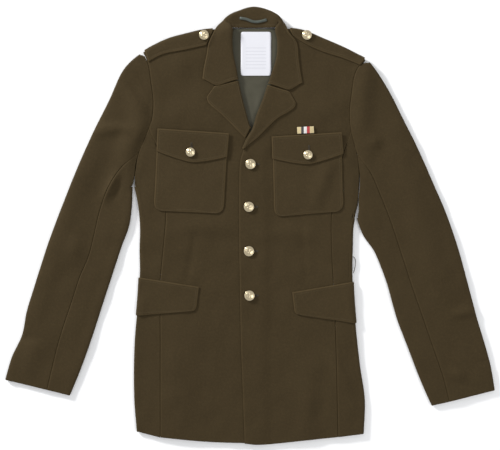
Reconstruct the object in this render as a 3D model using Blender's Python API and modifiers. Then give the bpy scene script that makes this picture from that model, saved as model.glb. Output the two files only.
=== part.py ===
"""Parade uniform jacket, buttoned and laid flat on its back.

X runs to the right of the picture, Y toward the collar and Z up from the table.
Left and right mean the sides as seen from above. The wearer's left front lies on top,
which is the one on the right here.
The cloth has two layers, joined by round folds: the back and the under halves of the
sleeves lie on the table, and the fronts and the upper halves of the sleeves lie on them.
"""

import bisect
import math

import bmesh
import bpy
from mathutils import Vector
from mathutils.bvhtree import BVHTree

MM = 0.001

# Cloth and how the layers lie, in millimetres
CLOTH = 2.0
SEAM_GAP = 0.5
UNDER_GAP = 1.6
LAY_GAP = 0.4
UNDER_MID = 1.05
OVER_MID = 5.8
FOLD_RADIUS = (OVER_MID - UNDER_MID) / 2
FOLD_CENTRE = (OVER_MID + UNDER_MID) / 2
FOLD_REACH = FOLD_RADIUS + CLOTH / 2
OVERLAP_RISE = 2.3
SHOULDER_LIFT = 3.0
LIFT_PLATEAU = 16.0
LIFT_REACH = 110.0

# Smaller pieces
POCKET_CLOTH = 1.5
POCKET_CORNER = 14.0
FLAP_CLOTH = 1.8
FLAP_CORNER = 8.0
FLAP_REACH = 7.0
LAPEL_CLOTH = 1.8
LAPEL_ROLL = 2.6
LAPEL_HEIGHT = 2.3
LAPEL_LIP = 1.2
STRAP_CLOTH = 1.8
STRAP_RETURN = 10.0
SHOULDER_RETURN = 8.0
LINING_CLOTH = 0.7
LABEL_CLOTH = 0.4
LOOP_WIDTH = 5.0
LOOP_CLOTH = 1.0
RIBBON_THICKNESS = 2.0
THREAD_RADIUS = 0.6
TURN_STEPS = 6

FRONT_BUTTON = 19.0
STRAP_BUTTON = 18.0
POCKET_BUTTON = 17.0

CURVE_STEPS = 8
RAY_HEIGHT = 60.0

# Armhole seams on the upper layer, from the shoulder fold to the armpit
ARMHOLE_LEFT = [(-198, 321), (-189, 301), (-183, 264), (-179, 227), (-182, 196), (-187, 181),
                (-196, 160), (-206, 136), (-211, 116), (-215.8, 72)]
ARMHOLE_RIGHT = [(216, 307), (201, 294), (194, 281), (188, 246), (184, 205), (187, 175),
                 (193, 152), (198, 134), (203, 94), (201, 51), (196, 14)]

# Heights on the armhole: sleeve rows from the shoulder to the forearm seam, then to the armpit
CAP_HEIGHTS_LEFT = [313, 305, 290, 270, 247, 227, 196, 181, 160, 136]
CAP_HEIGHTS_RIGHT = [299, 295, 288, 275, 258, 240, 215, 195, 175, 152, 134]
LOW_HEIGHTS_LEFT = [136, 115, 93, 72]
LOW_HEIGHTS_RIGHT = [134, 94, 51, 14]
SIDE_SEAM_TOP = 2
SLEEVE_ROWS = 11
CAP_SHARE = 0.26

# Armhole seams on the under layer, from the shoulder fold to the armpit
BACK_ARMHOLE_LEFT = [(-191, 309), (-191, 260), (-198, 210), (-207, 159), (-214, 112), (-215.8, 72)]
BACK_ARMHOLE_RIGHT = [(204, 296), (194, 251), (196, 199), (202, 140), (204, 75), (196, 14)]

# Heights on the back armhole: hindarm seam, side body seam and the rows between them
BACK_CAP_LEFT = (302, 210)
BACK_CAP_RIGHT = (287, 199)
BACK_LOW_LEFT = [210, 185, 160, 130, 100, 72]
BACK_LOW_RIGHT = [199, 170, 140, 95, 50, 14]
BACK_BODY_LEFT = [159, 138, 116, 94, 72]
BACK_BODY_RIGHT = [140, 108, 76, 45, 14]

# Body seams and side folds, from the armhole to the hem
SIDE_SEAM_LEFT = [(-187, 181), (-170, 140), (-158, 75), (-156, 18), (-161, -45), (-166, -100),
                  (-166, -211), (-166, -392)]
SIDE_SEAM_RIGHT = [(187, 175), (172, 131), (156, 70), (151, 18), (151, -36), (154, -100),
                   (159, -211), (163, -391.5)]
SIDE_FOLD_LEFT = [(-214.6, 72), (-210.5, 55), (-206, 25), (-204, -6), (-205, -36), (-204, -74),
                  (-206, -119), (-211, -184), (-216, -248), (-216, -295), (-213, -345), (-210, -382)]
SIDE_FOLD_RIGHT = [(195, 14), (192, -4), (191, -37), (190, -74), (191, -119), (196, -184),
                   (204, -258), (213, -322), (213, -359), (211, -386)]
BACK_SEAM_LEFT = [(-207, 159), (-185, 85), (-170, -8), (-166, -100), (-170, -211), (-172, -391)]
BACK_SEAM_RIGHT = [(202, 140), (178, 75), (159, -17), (155, -110), (161, -221), (167, -391)]

# Side body rows from the armhole to the hem: heights at the side seam, fold and back seam
SIDE_ROWS_LEFT = [(181, 72, 159), (145, 50, 130), (110, 25, 100), (75, -6, 70), (18, -45, 10),
                  (-45, -85, -45), (-100, -130, -100), (-211, -220, -211), (-320, -320, -320),
                  (-392, -382, -391)]
SIDE_ROWS_RIGHT = [(175, 14, 140), (145, -4, 115), (122, -20, 90), (100, -37, 65), (70, -60, 35),
                   (18, -90, 0), (-40, -130, -50), (-100, -190, -110), (-211, -260, -221),
                   (-320, -322, -320), (-391.5, -386, -391)]

# Sleeve folds and seams, from the top to the cuff
OUTER_FOLD_LEFT = [(-204, 318), (-218, 307), (-235, 288), (-261, 233), (-289, 177), (-314, 122),
                   (-344, 48), (-372, -26), (-396, -100), (-418, -174), (-425, -211), (-439, -237),
                   (-448, -263), (-454, -285)]
OUTER_FOLD_RIGHT = [(221, 303), (233, 288), (257, 251), (285, 196), (313, 140), (337, 85),
                    (363, 25), (387, -45), (407, -119), (427, -193), (444, -248), (450, -282),
                    (454, -305)]
INNER_FOLD_LEFT = [(-217.4, 72), (-219, 45), (-219, 14), (-228, -11), (-240, -45), (-254, -88),
                   (-272, -143), (-294, -211), (-314, -267), (-334, -315)]
INNER_FOLD_RIGHT = [(197.6, 14), (205, -7), (214, -26), (227, -42), (240, -70), (254, -108),
                    (271, -169), (293, -227), (316, -287), (337, -334)]
FOREARM_SEAM_LEFT = [(-206, 136), (-237, 109), (-257, 81), (-270, 51), (-282, 16), (-295, -45),
                     (-314, -91), (-331, -143), (-354, -213), (-376, -304)]
FOREARM_SEAM_RIGHT = [(198, 134), (216, 112), (233, 75), (252, 31), (278, -45), (299, -110),
                      (321, -173), (339, -226), (355, -271), (369, -326)]
HINDARM_SEAM_LEFT = [(-198, 210), (-244, 159), (-281, 103), (-307, 48), (-346, -63), (-381, -174),
                     (-413, -295)]
HINDARM_SEAM_RIGHT = [(196, 199), (244, 149), (285, 94), (314, 38), (355, -67), (392, -184),
                      (414, -315)]

# Fronts, one row for each height from the hem to the shoulder:
# height at the side seam or armhole, then x, y at the centre edge or roll line
FRONT_ROWS_LEFT = [
    (-392, 14, -403), (-320, 14, -330), (-211, 14, -215), (-100, 14, -105), (-45, 14, -45),
    (18, 14, 15), (75, 14, 65), (110, 14, 103), (145, 10, 140), (181, -3, 183), (196, -10, 208),
    (227, -17, 238), (247, -24, 266), (270, -35, 291), (290, -46, 321), (305, -52, 345),
    (318, -50, 362)]
FRONT_ROWS_RIGHT = [
    (-391.5, -10, -403), (-320, -13, -320), (-211, -17, -211), (-100, -19, -100), (-40, -20, -45),
    (18, -20, 15), (70, -20, 66), (100, -19.5, 100), (122, -18, 120), (145, -12, 141),
    (175, -4, 161), (195, 8, 183), (215, 16, 206), (240, 28, 237), (258, 37, 258), (275, 52, 286),
    (288, 65, 316), (295, 67, 341), (304, 60, 362)]
FRONT_COLUMNS_LEFT = [0.0, 0.12, 0.25, 0.37, 0.5, 0.62, 0.75, 0.87, 1.0]
FRONT_COLUMNS_RIGHT = [0.0, 0.17, 0.34, 0.5, 0.66, 0.7, 0.735, 0.77, 0.88, 1.0]
HEM_LEFT = [(-166, -392), (-73, -400.5), (14, -403)]
HEM_RIGHT = [(163, -391.5), (103, -397.5), (13, -405.5), (-10, -403)]
SHOULDER_LEFT = [(-197, 318), (-180, 328), (-147, 343), (-121, 350), (-88, 358), (-50, 362)]
SHOULDER_RIGHT = [(215, 304), (195, 314), (167, 328), (132, 343), (95, 358), (60, 362)]

# Backs: rows at the side, then the height of each at the centre seam, from hem to neck
CENTRE_SEAM = 1.0
BACK_ROWS_LEFT = [(-391, -402), (-211, -211), (-100, -100), (-10, -10), (85, 85), (150, 150),
                  (205, 215), (240, 265), (272, 315), (308, 363)]
BACK_ROWS_RIGHT = [(-391, -402), (-211, -211), (-100, -100), (-50, -50), (0, 0), (75, 75),
                   (130, 140), (185, 205), (225, 260), (262, 312), (295, 363)]
BACK_TOP_LEFT = [(-191, 309), (-148, 333), (-122, 340), (-89, 347), (-56, 351), (-46, 352),
                 (-38, 361), (-20, 363), (CENTRE_SEAM, 363)]
BACK_TOP_RIGHT = [(204, 296), (168, 317), (133, 333), (96, 346), (65, 351), (55, 352),
                  (47, 361), (24, 363), (CENTRE_SEAM, 363)]

# Lapels, from the gorge seam to the break: roll line and outer edge
ROLL_LEFT = [(-21, 269), (-14, 236), (-7, 210), (0, 186), (2.8, 181)]
LAPEL_EDGE_LEFT = [(-80, 238), (-78, 229), (-52, 205), (-30, 183), (-9, 162)]
ROLL_RIGHT = [(32, 261), (24, 236), (11, 203), (5, 182), (-7, 161), (-15, 143)]
LAPEL_EDGE_RIGHT = [(85, 228), (86, 224), (49, 197), (26, 175), (12, 161), (-4, 149)]
NOTCH_SHARE_LAPEL = 0.75
NOTCH_RISE_LAPEL = 12.6
NOTCH_SHARE_COLLAR = 0.6
NOTCH_DROP_COLLAR = 12.2

# Collar, one row for each section from the left point round the neck to the right point:
# neck seam x, y, z, roll x, y, z, outer edge x, y, z, radius of the roll; z before the lift
COLLAR_ROWS = [
    (-25, 270.9, 5.8, -21.1, 270.4, 7.8, -88.2, 272, 8.1, 2),
    (-34.2, 291.8, 5.8, -25.5, 293.7, 7.8, -85.8, 290, 8.1, 2),
    (-44.4, 319.6, 5.8, -31.1, 321.4, 7.8, -80.3, 315.9, 8.3, 2.2),
    (-50.4, 343.6, 5.8, -32.2, 349.2, 8.4, -76.6, 336.2, 8.4, 2.8),
    (-48, 359.4, 5.8, -31.8, 366.8, 10.5, -68.5, 354.7, 8.6, 3.4),
    (-42.5, 366.8, 5.8, -44, 381, 7, -58, 371.5, 3.5, 4),
    (-33.2, 366.8, 5.5, -36.9, 389.9, 7.1, -47, 371.8, 0.2, 4),
    (-19.4, 366.5, 4.5, -17.5, 399.9, 2.4, -24, 368.8, -1.8, 3.3),
    (3.7, 366.3, 4, 6.5, 406.2, 1.7, 3.7, 367.2, -1.9, 3),
    (25.9, 366.5, 4.5, 33.3, 400.4, 2.4, 33.3, 368.8, -1.8, 3.3),
    (42.5, 366.8, 5.5, 51.9, 389, 7.1, 58.4, 373.4, 0, 4),
    (52.5, 366.8, 5.8, 56, 381, 7, 65, 372.5, 3.5, 4),
    (58, 358.4, 5.8, 46.3, 365.8, 10.5, 72.2, 356.6, 8.6, 3.4),
    (64.7, 341.8, 5.8, 49.6, 345.5, 8.4, 86.2, 339.9, 8.4, 2.8),
    (62, 315.9, 6, 49, 314, 8.4, 89.9, 312.2, 8.3, 2.2),
    (49.2, 286.3, 5.8, 41.1, 286.3, 7.8, 93.1, 288.1, 8.1, 2),
    (37, 262.8, 5.8, 33, 262.2, 7.8, 97.3, 264.5, 8.1, 2)]

# Breast pockets and flaps: top left, top right, bottom right, bottom left
POCKET_LEFT = [(-171, 176), (-40, 170), (-49, 22), (-178, 28)]
POCKET_RIGHT = [(41, 163), (169, 170), (173, 27), (45, 16)]
BREAST_FLAP_LEFT = [(-171, 180), (-38, 171), (-42, 127), (-173, 138)]
BREAST_FLAP_RIGHT = [(40, 165), (170, 173), (173, 133), (41, 124)]
FLAP_POINT_DROP_LEFT = 15.5
FLAP_POINT_DROP_RIGHT = 15.0

# Lower flaps: inner end top and bottom, then the heights where they turn over the side fold
LOWER_FLAP_LEFT = [(-94, -113), (-100, -158), -96, -166]
LOWER_FLAP_RIGHT = [(78, -123), (83, -165), -104, -180]

# Shoulder straps: lower edge from the sleeve to the collar, and their share of the shoulder
STRAP_EDGE_LEFT = [(-188, 303), (-163, 316), (-124, 324), (-81, 333.5)]
STRAP_EDGE_RIGHT = [(203, 297), (173, 309), (133, 322), (102, 336), (79.5, 351)]
STRAP_SHARE_LEFT = (0.03, 0.88)
STRAP_SHARE_RIGHT = (0.03, 0.915)

# Lining in the neck, rows from the neck seam to the break: left x, right x, y
LINING_ROWS = [(-38, 48, 361), (-41, 57, 345), (-43, 61, 330), (-39, 56, 310), (-36, 52, 290),
               (-26, 40, 262), (-16, 28, 225), (-8, 14, 190), (-4, 8, 172)]
LABEL_BOX = (-17, 278, 39, 359)
LABEL_CORNER = 4.0
HANGER_LOOP = [(-19, 384), (-7, 382), (7, 377), (20, 378), (31, 381)]
HANGER_ARCH = 1.2
RIBBON_BAR = [(87, 182.5), (118, 184), (118.5, 171.5), (87.5, 170)]
RIBBON_CORNER = 1.5
BELT_LOOP = [(191.5, -57), (195, -62), (194.5, -78), (192.5, -85), (191.0, -88)]

FRONT_BUTTONS = [(1, 114), (-2, 35), (-2, -47), (-1, -129)]
POCKET_BUTTONS = [(-110, 136), (107, 131)]
STRAP_BUTTONS = [(-85, 352), (105, 352)]

# Shoulder and neck line that the lift follows
LIFT_LINE = [(-198, 321), (-148, 346), (-89, 361), (-51, 365), (3, 363), (60, 365), (133, 346), (216, 307)]


def clear_scene():
    for thing in list(bpy.data.objects):
        bpy.data.objects.remove(thing, do_unlink=True)


def make_material(name, colour, roughness, metallic=0.0):
    material = bpy.data.materials.new(name)
    material.use_nodes = True
    shader = material.node_tree.nodes["Principled BSDF"]
    shader.inputs["Base Color"].default_value = (*colour, 1.0)
    shader.inputs["Roughness"].default_value = roughness
    shader.inputs["Metallic"].default_value = metallic
    material.diffuse_color = (*colour, 1.0)
    return material


def smooth(share):
    share = min(max(share, 0.0), 1.0)
    return share * share * (3.0 - 2.0 * share)


def curve(points, rounded=True):
    """A curve through the points, read by its share of length from 0 to 1."""
    points = [Vector(point) for point in points]
    samples = [points[0]]
    steps = CURVE_STEPS if rounded else 1
    for index in range(len(points) - 1):
        start = points[index]
        end = points[index + 1]
        before = points[index - 1] if index > 0 else start - (end - start)
        after = points[index + 2] if index + 2 < len(points) else end + (end - start)
        for step in range(1, steps + 1):
            samples.append(catmull_rom(before, start, end, after, step / steps))
    lengths = [0.0]
    for first, second in zip(samples, samples[1:]):
        lengths.append(lengths[-1] + (second - first).length)

    def at(share):
        wanted = min(max(share, 0.0), 1.0) * lengths[-1]
        index = min(max(bisect.bisect_right(lengths, wanted) - 1, 0), len(samples) - 2)
        span = lengths[index + 1] - lengths[index]
        return samples[index].lerp(samples[index + 1], (wanted - lengths[index]) / span)

    return at


def catmull_rom(before, start, end, after, share):
    """A point between start and end, with tangents that suit uneven spacing."""
    span_before = max((start - before).length, 1e-6)
    span = max((end - start).length, 1e-6)
    span_after = max((after - end).length, 1e-6)
    start_slope = ((start - before) / span_before + (end - start) / span) * 0.5 * span
    end_slope = ((end - start) / span + (after - end) / span_after) * 0.5 * span
    squared = share * share
    cubed = squared * share
    return ((2 * cubed - 3 * squared + 1) * start + (cubed - 2 * squared + share) * start_slope
            + (3 * squared - 2 * cubed) * end + (cubed - squared) * end_slope)


def stations(route, count, first=0.0, last=1.0):
    return [route(first + (last - first) * number / count) for number in range(count + 1)]


def height_share(route, height):
    """The share of a falling route's length at which it passes a height."""
    low = 0.0
    high = 1.0
    for _ in range(30):
        middle = (low + high) / 2
        if route(middle).y > height:
            low = middle
        else:
            high = middle
    return (low + high) / 2


def at_heights(points, heights):
    route = curve(points)
    return [route(height_share(route, height)) for height in heights]


def beside(points, distance):
    """The stations of a falling line, moved square to it; a positive distance moves them to +X."""
    moved = []
    for index, point in enumerate(points):
        before = points[max(index - 1, 0)]
        after = points[min(index + 1, len(points) - 1)]
        along = (after - before).normalized()
        moved.append(point + Vector((-along.y, along.x)) * distance)
    return moved


def anchored(points, start, end):
    """The stations moved near their ends only, so that they begin and end where they must."""
    count = len(points) - 1
    moved = []
    for number, point in enumerate(points):
        share = number / count
        pull = (start - points[0]) * (1.0 - share) ** 3 + (end - points[-1]) * share ** 3
        moved.append(point + pull)
    return moved


def straight(start, end, count):
    return [start.lerp(end, number / count) for number in range(count + 1)]


def patch(left, right, top, bottom):
    """Rows of points inside four edges: left and right run down, top and bottom across."""
    rows = len(left) - 1
    columns = len(top) - 1
    table = []
    for row in range(rows + 1):
        down = row / rows
        line = []
        for column in range(columns + 1):
            across = column / columns
            corners = ((1 - across) * (1 - down) * left[0] + across * (1 - down) * right[0]
                       + (1 - across) * down * left[-1] + across * down * right[-1])
            sides = (1 - across) * left[row] + across * right[row]
            ends = (1 - down) * top[column] + down * bottom[column]
            line.append(sides + ends - corners)
        table.append(line)
    return table


def distance_to_line(x, y, line):
    place = Vector((x, y))
    nearest = float("inf")
    for first, second in zip(line, line[1:]):
        start = Vector(first)
        along = Vector(second) - start
        share = min(max((place - start).dot(along) / along.length_squared, 0.0), 1.0)
        nearest = min(nearest, (place - start - along * share).length)
    return nearest


def lift(x, y):
    """How far the layers rise where the straps pass under the shoulders."""
    away = distance_to_line(x, y, LIFT_LINE)
    return SHOULDER_LIFT * smooth((LIFT_REACH - away) / (LIFT_REACH - LIFT_PLATEAU))


def overlap_rise(x, y):
    """How far the right front rises to lie on the left front."""
    across = smooth((41.0 - x) / 18.0)
    up = smooth((215.0 - y) / 28.0)
    return OVERLAP_RISE * across * up


def over_height(x, y, on_top=False):
    rise = overlap_rise(x, y) if on_top else 0.0
    return OVER_MID + lift(x, y) + rise


def surfaces(*names):
    """Search trees of built pieces, from which the height of their upper faces is read."""
    bpy.context.view_layer.update()
    depsgraph = bpy.context.evaluated_depsgraph_get()
    return [BVHTree.FromObject(bpy.data.objects[name], depsgraph) for name in names]


def top_of(trees, x, y, reach=3.0):
    """The highest face of the pieces at a place and close round it."""
    heights = []
    for step_x, step_y in ((0, 0), (1, 0), (-1, 0), (0, 1), (0, -1), (0.7, 0.7), (-0.7, 0.7),
                           (0.7, -0.7), (-0.7, -0.7)):
        start = Vector((x + step_x * reach, y + step_y * reach, RAY_HEIGHT)) * MM
        for tree in trees:
            place = tree.ray_cast(start, Vector((0.0, 0.0, -1.0)))[0]
            if place is not None:
                heights.append(place.z / MM)
    return max(heights, default=0.0)


def place_3d(point, height):
    return Vector((point.x, point.y, height))


def sheet(name, rows, thickness, material, collection):
    """One closed cloth piece: a grid through the rows of points, with a wall about it."""
    across = len(rows[0]) - 1
    down = len(rows) - 1
    mesh = bpy.data.meshes.new(name)
    grid = bmesh.new()
    bmesh.ops.create_grid(grid, x_segments=across, y_segments=down, size=0.5)
    for vertex in grid.verts:
        column = round((vertex.co.x + 0.5) * across)
        row = round((vertex.co.y + 0.5) * down)
        vertex.co = rows[row][column] * MM
    grid.to_mesh(mesh)
    grid.free()
    piece = bpy.data.objects.new(name, mesh)
    collection.objects.link(piece)
    mesh.materials.append(material)
    wall = piece.modifiers.new("wall", "SOLIDIFY")
    wall.thickness = thickness * MM
    wall.offset = 0.0
    wall.use_even_offset = False
    return piece


def outward_normal(route, share, inside):
    """Unit vector square to the route, pointing away from the inside point."""
    step = 0.02
    along = route(min(share + step, 1.0)) - route(max(share - step, 0.0))
    normal = Vector((along.y, -along.x)).normalized()
    if normal.dot(route(share) - inside) < 0:
        normal.negate()
    return normal


def folded_rows(over_edge, fold, under_edge, over_mouth, under_mouth):
    """Rows of a panel that starts on the upper layer, turns at the fold and ends below."""
    sign = 1.0 if (fold[0] - over_edge[-1]).cross(over_edge[0] - over_edge[-1]) > 0 else -1.0
    outline = beside(fold, -sign * FOLD_REACH)
    normals = [(edge - centre).normalized() for edge, centre in zip(fold, outline)]
    over_top = anchored(over_mouth, over_edge[0], outline[0])
    under_top = anchored(under_mouth, outline[0], under_edge[0])
    over_low = straight(over_edge[-1], outline[-1], len(over_mouth) - 1)
    under_low = straight(outline[-1], under_edge[-1], len(under_mouth) - 1)
    over_patch = patch(over_edge, outline, over_top, over_low)
    under_patch = patch(outline, under_edge, under_top, under_low)
    table = []
    for over_line, centre, normal, under_line in zip(over_patch, outline, normals, under_patch):
        line = [place_3d(point, OVER_MID + lift(point.x, point.y)) for point in over_line]
        rise = lift(centre.x, centre.y)
        for step in range(1, TURN_STEPS):
            angle = math.pi * step / TURN_STEPS
            point = centre + normal * FOLD_RADIUS * math.sin(angle)
            line.append(place_3d(point, FOLD_CENTRE + FOLD_RADIUS * math.cos(angle) + rise))
        line += [place_3d(point, UNDER_MID + lift(point.x, point.y)) for point in under_line]
        table.append(line)
    return table


def ruled_rows(side, centre, low, top, shares, height):
    """Rows straight across between the two edges, bent to the hem and top lines at the ends."""
    rows = len(side) - 1
    table = []
    for row in range(rows + 1):
        up = row / rows
        low_pull = smooth(1.0 - up / 0.2)
        top_pull = smooth((up - 0.6) / 0.4)
        line = []
        for share in shares:
            point = side[row].lerp(centre[row], share)
            point = point + (low(share) - side[0].lerp(centre[0], share)) * low_pull
            point = point + (top(share) - side[-1].lerp(centre[-1], share)) * top_pull
            line.append(place_3d(point, height(point.x, point.y)))
        table.append(line)
    return table


def add_shoulder_turn(table, shoulder, shares):
    """The front carried over the shoulder fold to its seam on the back."""
    inside = Vector((0.0, 0.0))
    for step in range(1, TURN_STEPS + 1):
        angle = math.pi * step / TURN_STEPS
        line = []
        for share in shares:
            normal = outward_normal(shoulder, share, inside)
            point = shoulder(share) + normal * FOLD_RADIUS * math.sin(angle)
            line.append(place_3d(point, FOLD_CENTRE + SHOULDER_LIFT + FOLD_RADIUS * math.cos(angle)))
        table.append(line)
    line = []
    for share in shares:
        point = shoulder(share) - outward_normal(shoulder, share, inside) * SHOULDER_RETURN
        line.append(place_3d(point, UNDER_MID + SHOULDER_LIFT))
    table.append(line)


def build_fronts(cloth, collection):
    for name, sign, rows, shares, armhole, seam, hem, shoulder in (
            ("left", -1, FRONT_ROWS_LEFT, FRONT_COLUMNS_LEFT, ARMHOLE_LEFT, SIDE_SEAM_LEFT,
             HEM_LEFT, SHOULDER_LEFT),
            ("right", 1, FRONT_ROWS_RIGHT, FRONT_COLUMNS_RIGHT, ARMHOLE_RIGHT, SIDE_SEAM_RIGHT,
             HEM_RIGHT, SHOULDER_RIGHT)):
        heights = [row[0] for row in reversed(rows)]
        cap = at_heights(armhole, [height for height in heights if height > seam[0][1]])
        side = cap + at_heights(seam, [height for height in heights if height <= seam[0][1]])
        side = list(reversed(beside(side, -sign * SEAM_GAP / 2)))
        centre = [Vector((x, y)) for height, x, y in rows]
        top = curve([side[-1]] + [Vector(point) for point in shoulder[1:]])
        low = curve([side[0]] + [Vector(point) for point in hem[1:]])
        table = ruled_rows(side, centre, low, top, shares,
                           lambda x, y, on_top=sign > 0: over_height(x, y, on_top))
        add_shoulder_turn(table, top, shares)
        sheet("front_" + name, table, CLOTH, cloth, collection)


def build_backs(cloth, collection):
    shares = [0.0, 0.14, 0.28, 0.42, 0.56, 0.7, 0.78, 0.86, 1.0]
    for name, sign, rows, armhole, seam, top in (
            ("left", -1, BACK_ROWS_LEFT, BACK_ARMHOLE_LEFT, BACK_SEAM_LEFT, BACK_TOP_LEFT),
            ("right", 1, BACK_ROWS_RIGHT, BACK_ARMHOLE_RIGHT, BACK_SEAM_RIGHT, BACK_TOP_RIGHT)):
        heights = [row[0] for row in reversed(rows)]
        cap = at_heights(armhole, [height for height in heights if height > seam[0][1]])
        side = cap + at_heights(seam, [height for height in heights if height <= seam[0][1]])
        side = list(reversed(beside(side, -sign * UNDER_GAP / 2)))
        middle = CENTRE_SEAM + sign * SEAM_GAP / 2
        centre = [Vector((middle, y)) for height, y in rows]
        top_points = [side[-1]] + [Vector(point) for point in top[1:-1]] + [Vector((middle, top[-1][1]))]
        table = ruled_rows(side, centre, curve([side[0], centre[0]]), curve(top_points), shares,
                           lambda x, y: CLOTH / 2 + lift(x, y))
        sheet("back_" + name, table, CLOTH, cloth, collection)


def build_side_bodies(cloth, collection):
    for name, sign, rows, seam, fold, back_seam, armhole, cap, low, back_armhole, back_heights in (
            ("left", -1, SIDE_ROWS_LEFT, SIDE_SEAM_LEFT, SIDE_FOLD_LEFT, BACK_SEAM_LEFT,
             ARMHOLE_LEFT, CAP_HEIGHTS_LEFT, LOW_HEIGHTS_LEFT, BACK_ARMHOLE_LEFT, BACK_BODY_LEFT),
            ("right", 1, SIDE_ROWS_RIGHT, SIDE_SEAM_RIGHT, SIDE_FOLD_RIGHT, BACK_SEAM_RIGHT,
             ARMHOLE_RIGHT, CAP_HEIGHTS_RIGHT, LOW_HEIGHTS_RIGHT, BACK_ARMHOLE_RIGHT,
             BACK_BODY_RIGHT)):
        over_edge = beside(at_heights(seam, [row[0] for row in rows]), sign * SEAM_GAP / 2)
        fold_points = at_heights(fold, [row[1] for row in rows])
        under_edge = beside(at_heights(back_seam, [row[2] for row in rows]), sign * UNDER_GAP / 2)
        mouth_heights = cap[-SIDE_SEAM_TOP - 1:] + low[1:]
        over_mouth = beside(at_heights(armhole, mouth_heights), -sign * SEAM_GAP / 2)
        over_edge[0] = over_mouth[0] + Vector((sign * SEAM_GAP / 2, 0.0))
        under_mouth = beside(at_heights(back_armhole, back_heights), -sign * UNDER_GAP / 2)
        under_edge[0] = under_mouth[0] + Vector((sign * UNDER_GAP / 2, -UNDER_GAP / 2))
        table = folded_rows(over_edge, fold_points, under_edge, over_mouth, under_mouth[::-1])
        sheet("side_body_" + name, table, CLOTH, cloth, collection)


def build_sleeves(cloth, collection):
    for (name, sign, armhole, cap, low, back_armhole, back_cap, back_low, outer, inner, forearm,
         hindarm) in (
            ("left", -1, ARMHOLE_LEFT, CAP_HEIGHTS_LEFT, LOW_HEIGHTS_LEFT, BACK_ARMHOLE_LEFT,
             BACK_CAP_LEFT, BACK_LOW_LEFT, OUTER_FOLD_LEFT, INNER_FOLD_LEFT, FOREARM_SEAM_LEFT,
             HINDARM_SEAM_LEFT),
            ("right", 1, ARMHOLE_RIGHT, CAP_HEIGHTS_RIGHT, LOW_HEIGHTS_RIGHT, BACK_ARMHOLE_RIGHT,
             BACK_CAP_RIGHT, BACK_LOW_RIGHT, OUTER_FOLD_RIGHT, INNER_FOLD_RIGHT,
             FOREARM_SEAM_RIGHT, HINDARM_SEAM_RIGHT)):
        cap_rows = len(cap) - 1
        forearm_stations = stations(curve(forearm), SLEEVE_ROWS)
        hindarm_stations = stations(curve(hindarm), SLEEVE_ROWS)
        over_edge = beside(at_heights(armhole, cap) + forearm_stations[1:], sign * SEAM_GAP / 2)
        outer_route = curve(outer)
        fold_points = (stations(outer_route, cap_rows, 0.0, CAP_SHARE)
                       + stations(outer_route, SLEEVE_ROWS, CAP_SHARE, 1.0)[1:])
        back_heights = [back_cap[0] + (back_cap[1] - back_cap[0]) * row / cap_rows
                        for row in range(cap_rows + 1)]
        under_edge = beside(at_heights(back_armhole, back_heights) + hindarm_stations[1:],
                            sign * UNDER_GAP / 2)
        table = folded_rows(over_edge, fold_points, under_edge,
                            straight(over_edge[0], fold_points[0], 5),
                            straight(fold_points[0], under_edge[0], 4))
        sheet("sleeve_top_" + name, table, CLOTH, cloth, collection)

        over_edge = beside(forearm_stations, -sign * SEAM_GAP / 2)
        over_mouth = beside(at_heights(armhole, low), sign * SEAM_GAP / 2)
        over_edge[0] = over_mouth[0] + Vector((0.0, -SEAM_GAP))
        under_edge = beside(hindarm_stations, -sign * UNDER_GAP / 2)
        under_mouth = beside(at_heights(back_armhole, back_low), sign * UNDER_GAP / 2)
        under_edge[0] = under_mouth[0] + Vector((0.0, -UNDER_GAP))
        table = folded_rows(over_edge, stations(curve(inner), SLEEVE_ROWS), under_edge, over_mouth,
                            under_mouth[::-1])
        sheet("sleeve_under_" + name, table, CLOTH, cloth, collection)


def tent(share, peak):
    return share / peak if share < peak else (1.0 - share) / (1.0 - peak)


def build_lapels(cloth, collection):
    """Facings: each rolls over the front's edge and lies on it, with the gorge and notch above."""
    turn_count = 4
    leaf_shares = [0.25, 0.5, NOTCH_SHARE_LAPEL, 0.88, 1.0]
    rows = 12
    reach = LAPEL_ROLL + LAPEL_CLOTH / 2
    for name, roll_points, edge_points, fronts in (
            ("left", ROLL_LEFT, LAPEL_EDGE_LEFT, ["front_left"]),
            ("right", ROLL_RIGHT, LAPEL_EDGE_RIGHT, ["front_left", "front_right"])):
        trees = surfaces(*fronts)
        roll = curve(roll_points)
        edge = curve(edge_points)
        table = []
        for row in range(rows + 1):
            down = row / rows
            normal = outward_normal(roll, down, edge(down))
            centre = roll(down) - normal * reach
            base = top_of(trees, centre.x, centre.y)
            roll_top = base + LAPEL_HEIGHT
            centre_height = roll_top - LAPEL_ROLL
            lip = centre + normal * LAPEL_ROLL
            line = [place_3d(lip, centre_height - LAPEL_LIP)]
            for step in range(turn_count + 1):
                angle = math.pi / 2 * step / turn_count
                point = centre + normal * LAPEL_ROLL * math.cos(angle)
                line.append(place_3d(point, centre_height + LAPEL_ROLL * math.sin(angle)))
            for share in leaf_shares:
                point = centre.lerp(edge(down), share)
                point.y += NOTCH_RISE_LAPEL * tent(share, NOTCH_SHARE_LAPEL) * (1.0 - down) ** 8
                rest = top_of(trees, point.x, point.y) + LAY_GAP + LAPEL_CLOTH / 2
                spring = (LAPEL_HEIGHT - LAY_GAP - LAPEL_CLOTH / 2) * (1.0 - smooth(share * 1.3))
                line.append(place_3d(point, rest + spring))
            table.append(line)
        sheet("lapel_" + name, table, LAPEL_CLOTH, cloth, collection)


def lifted(x, y, z):
    return Vector((x, y, z + lift(x, y)))


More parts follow.
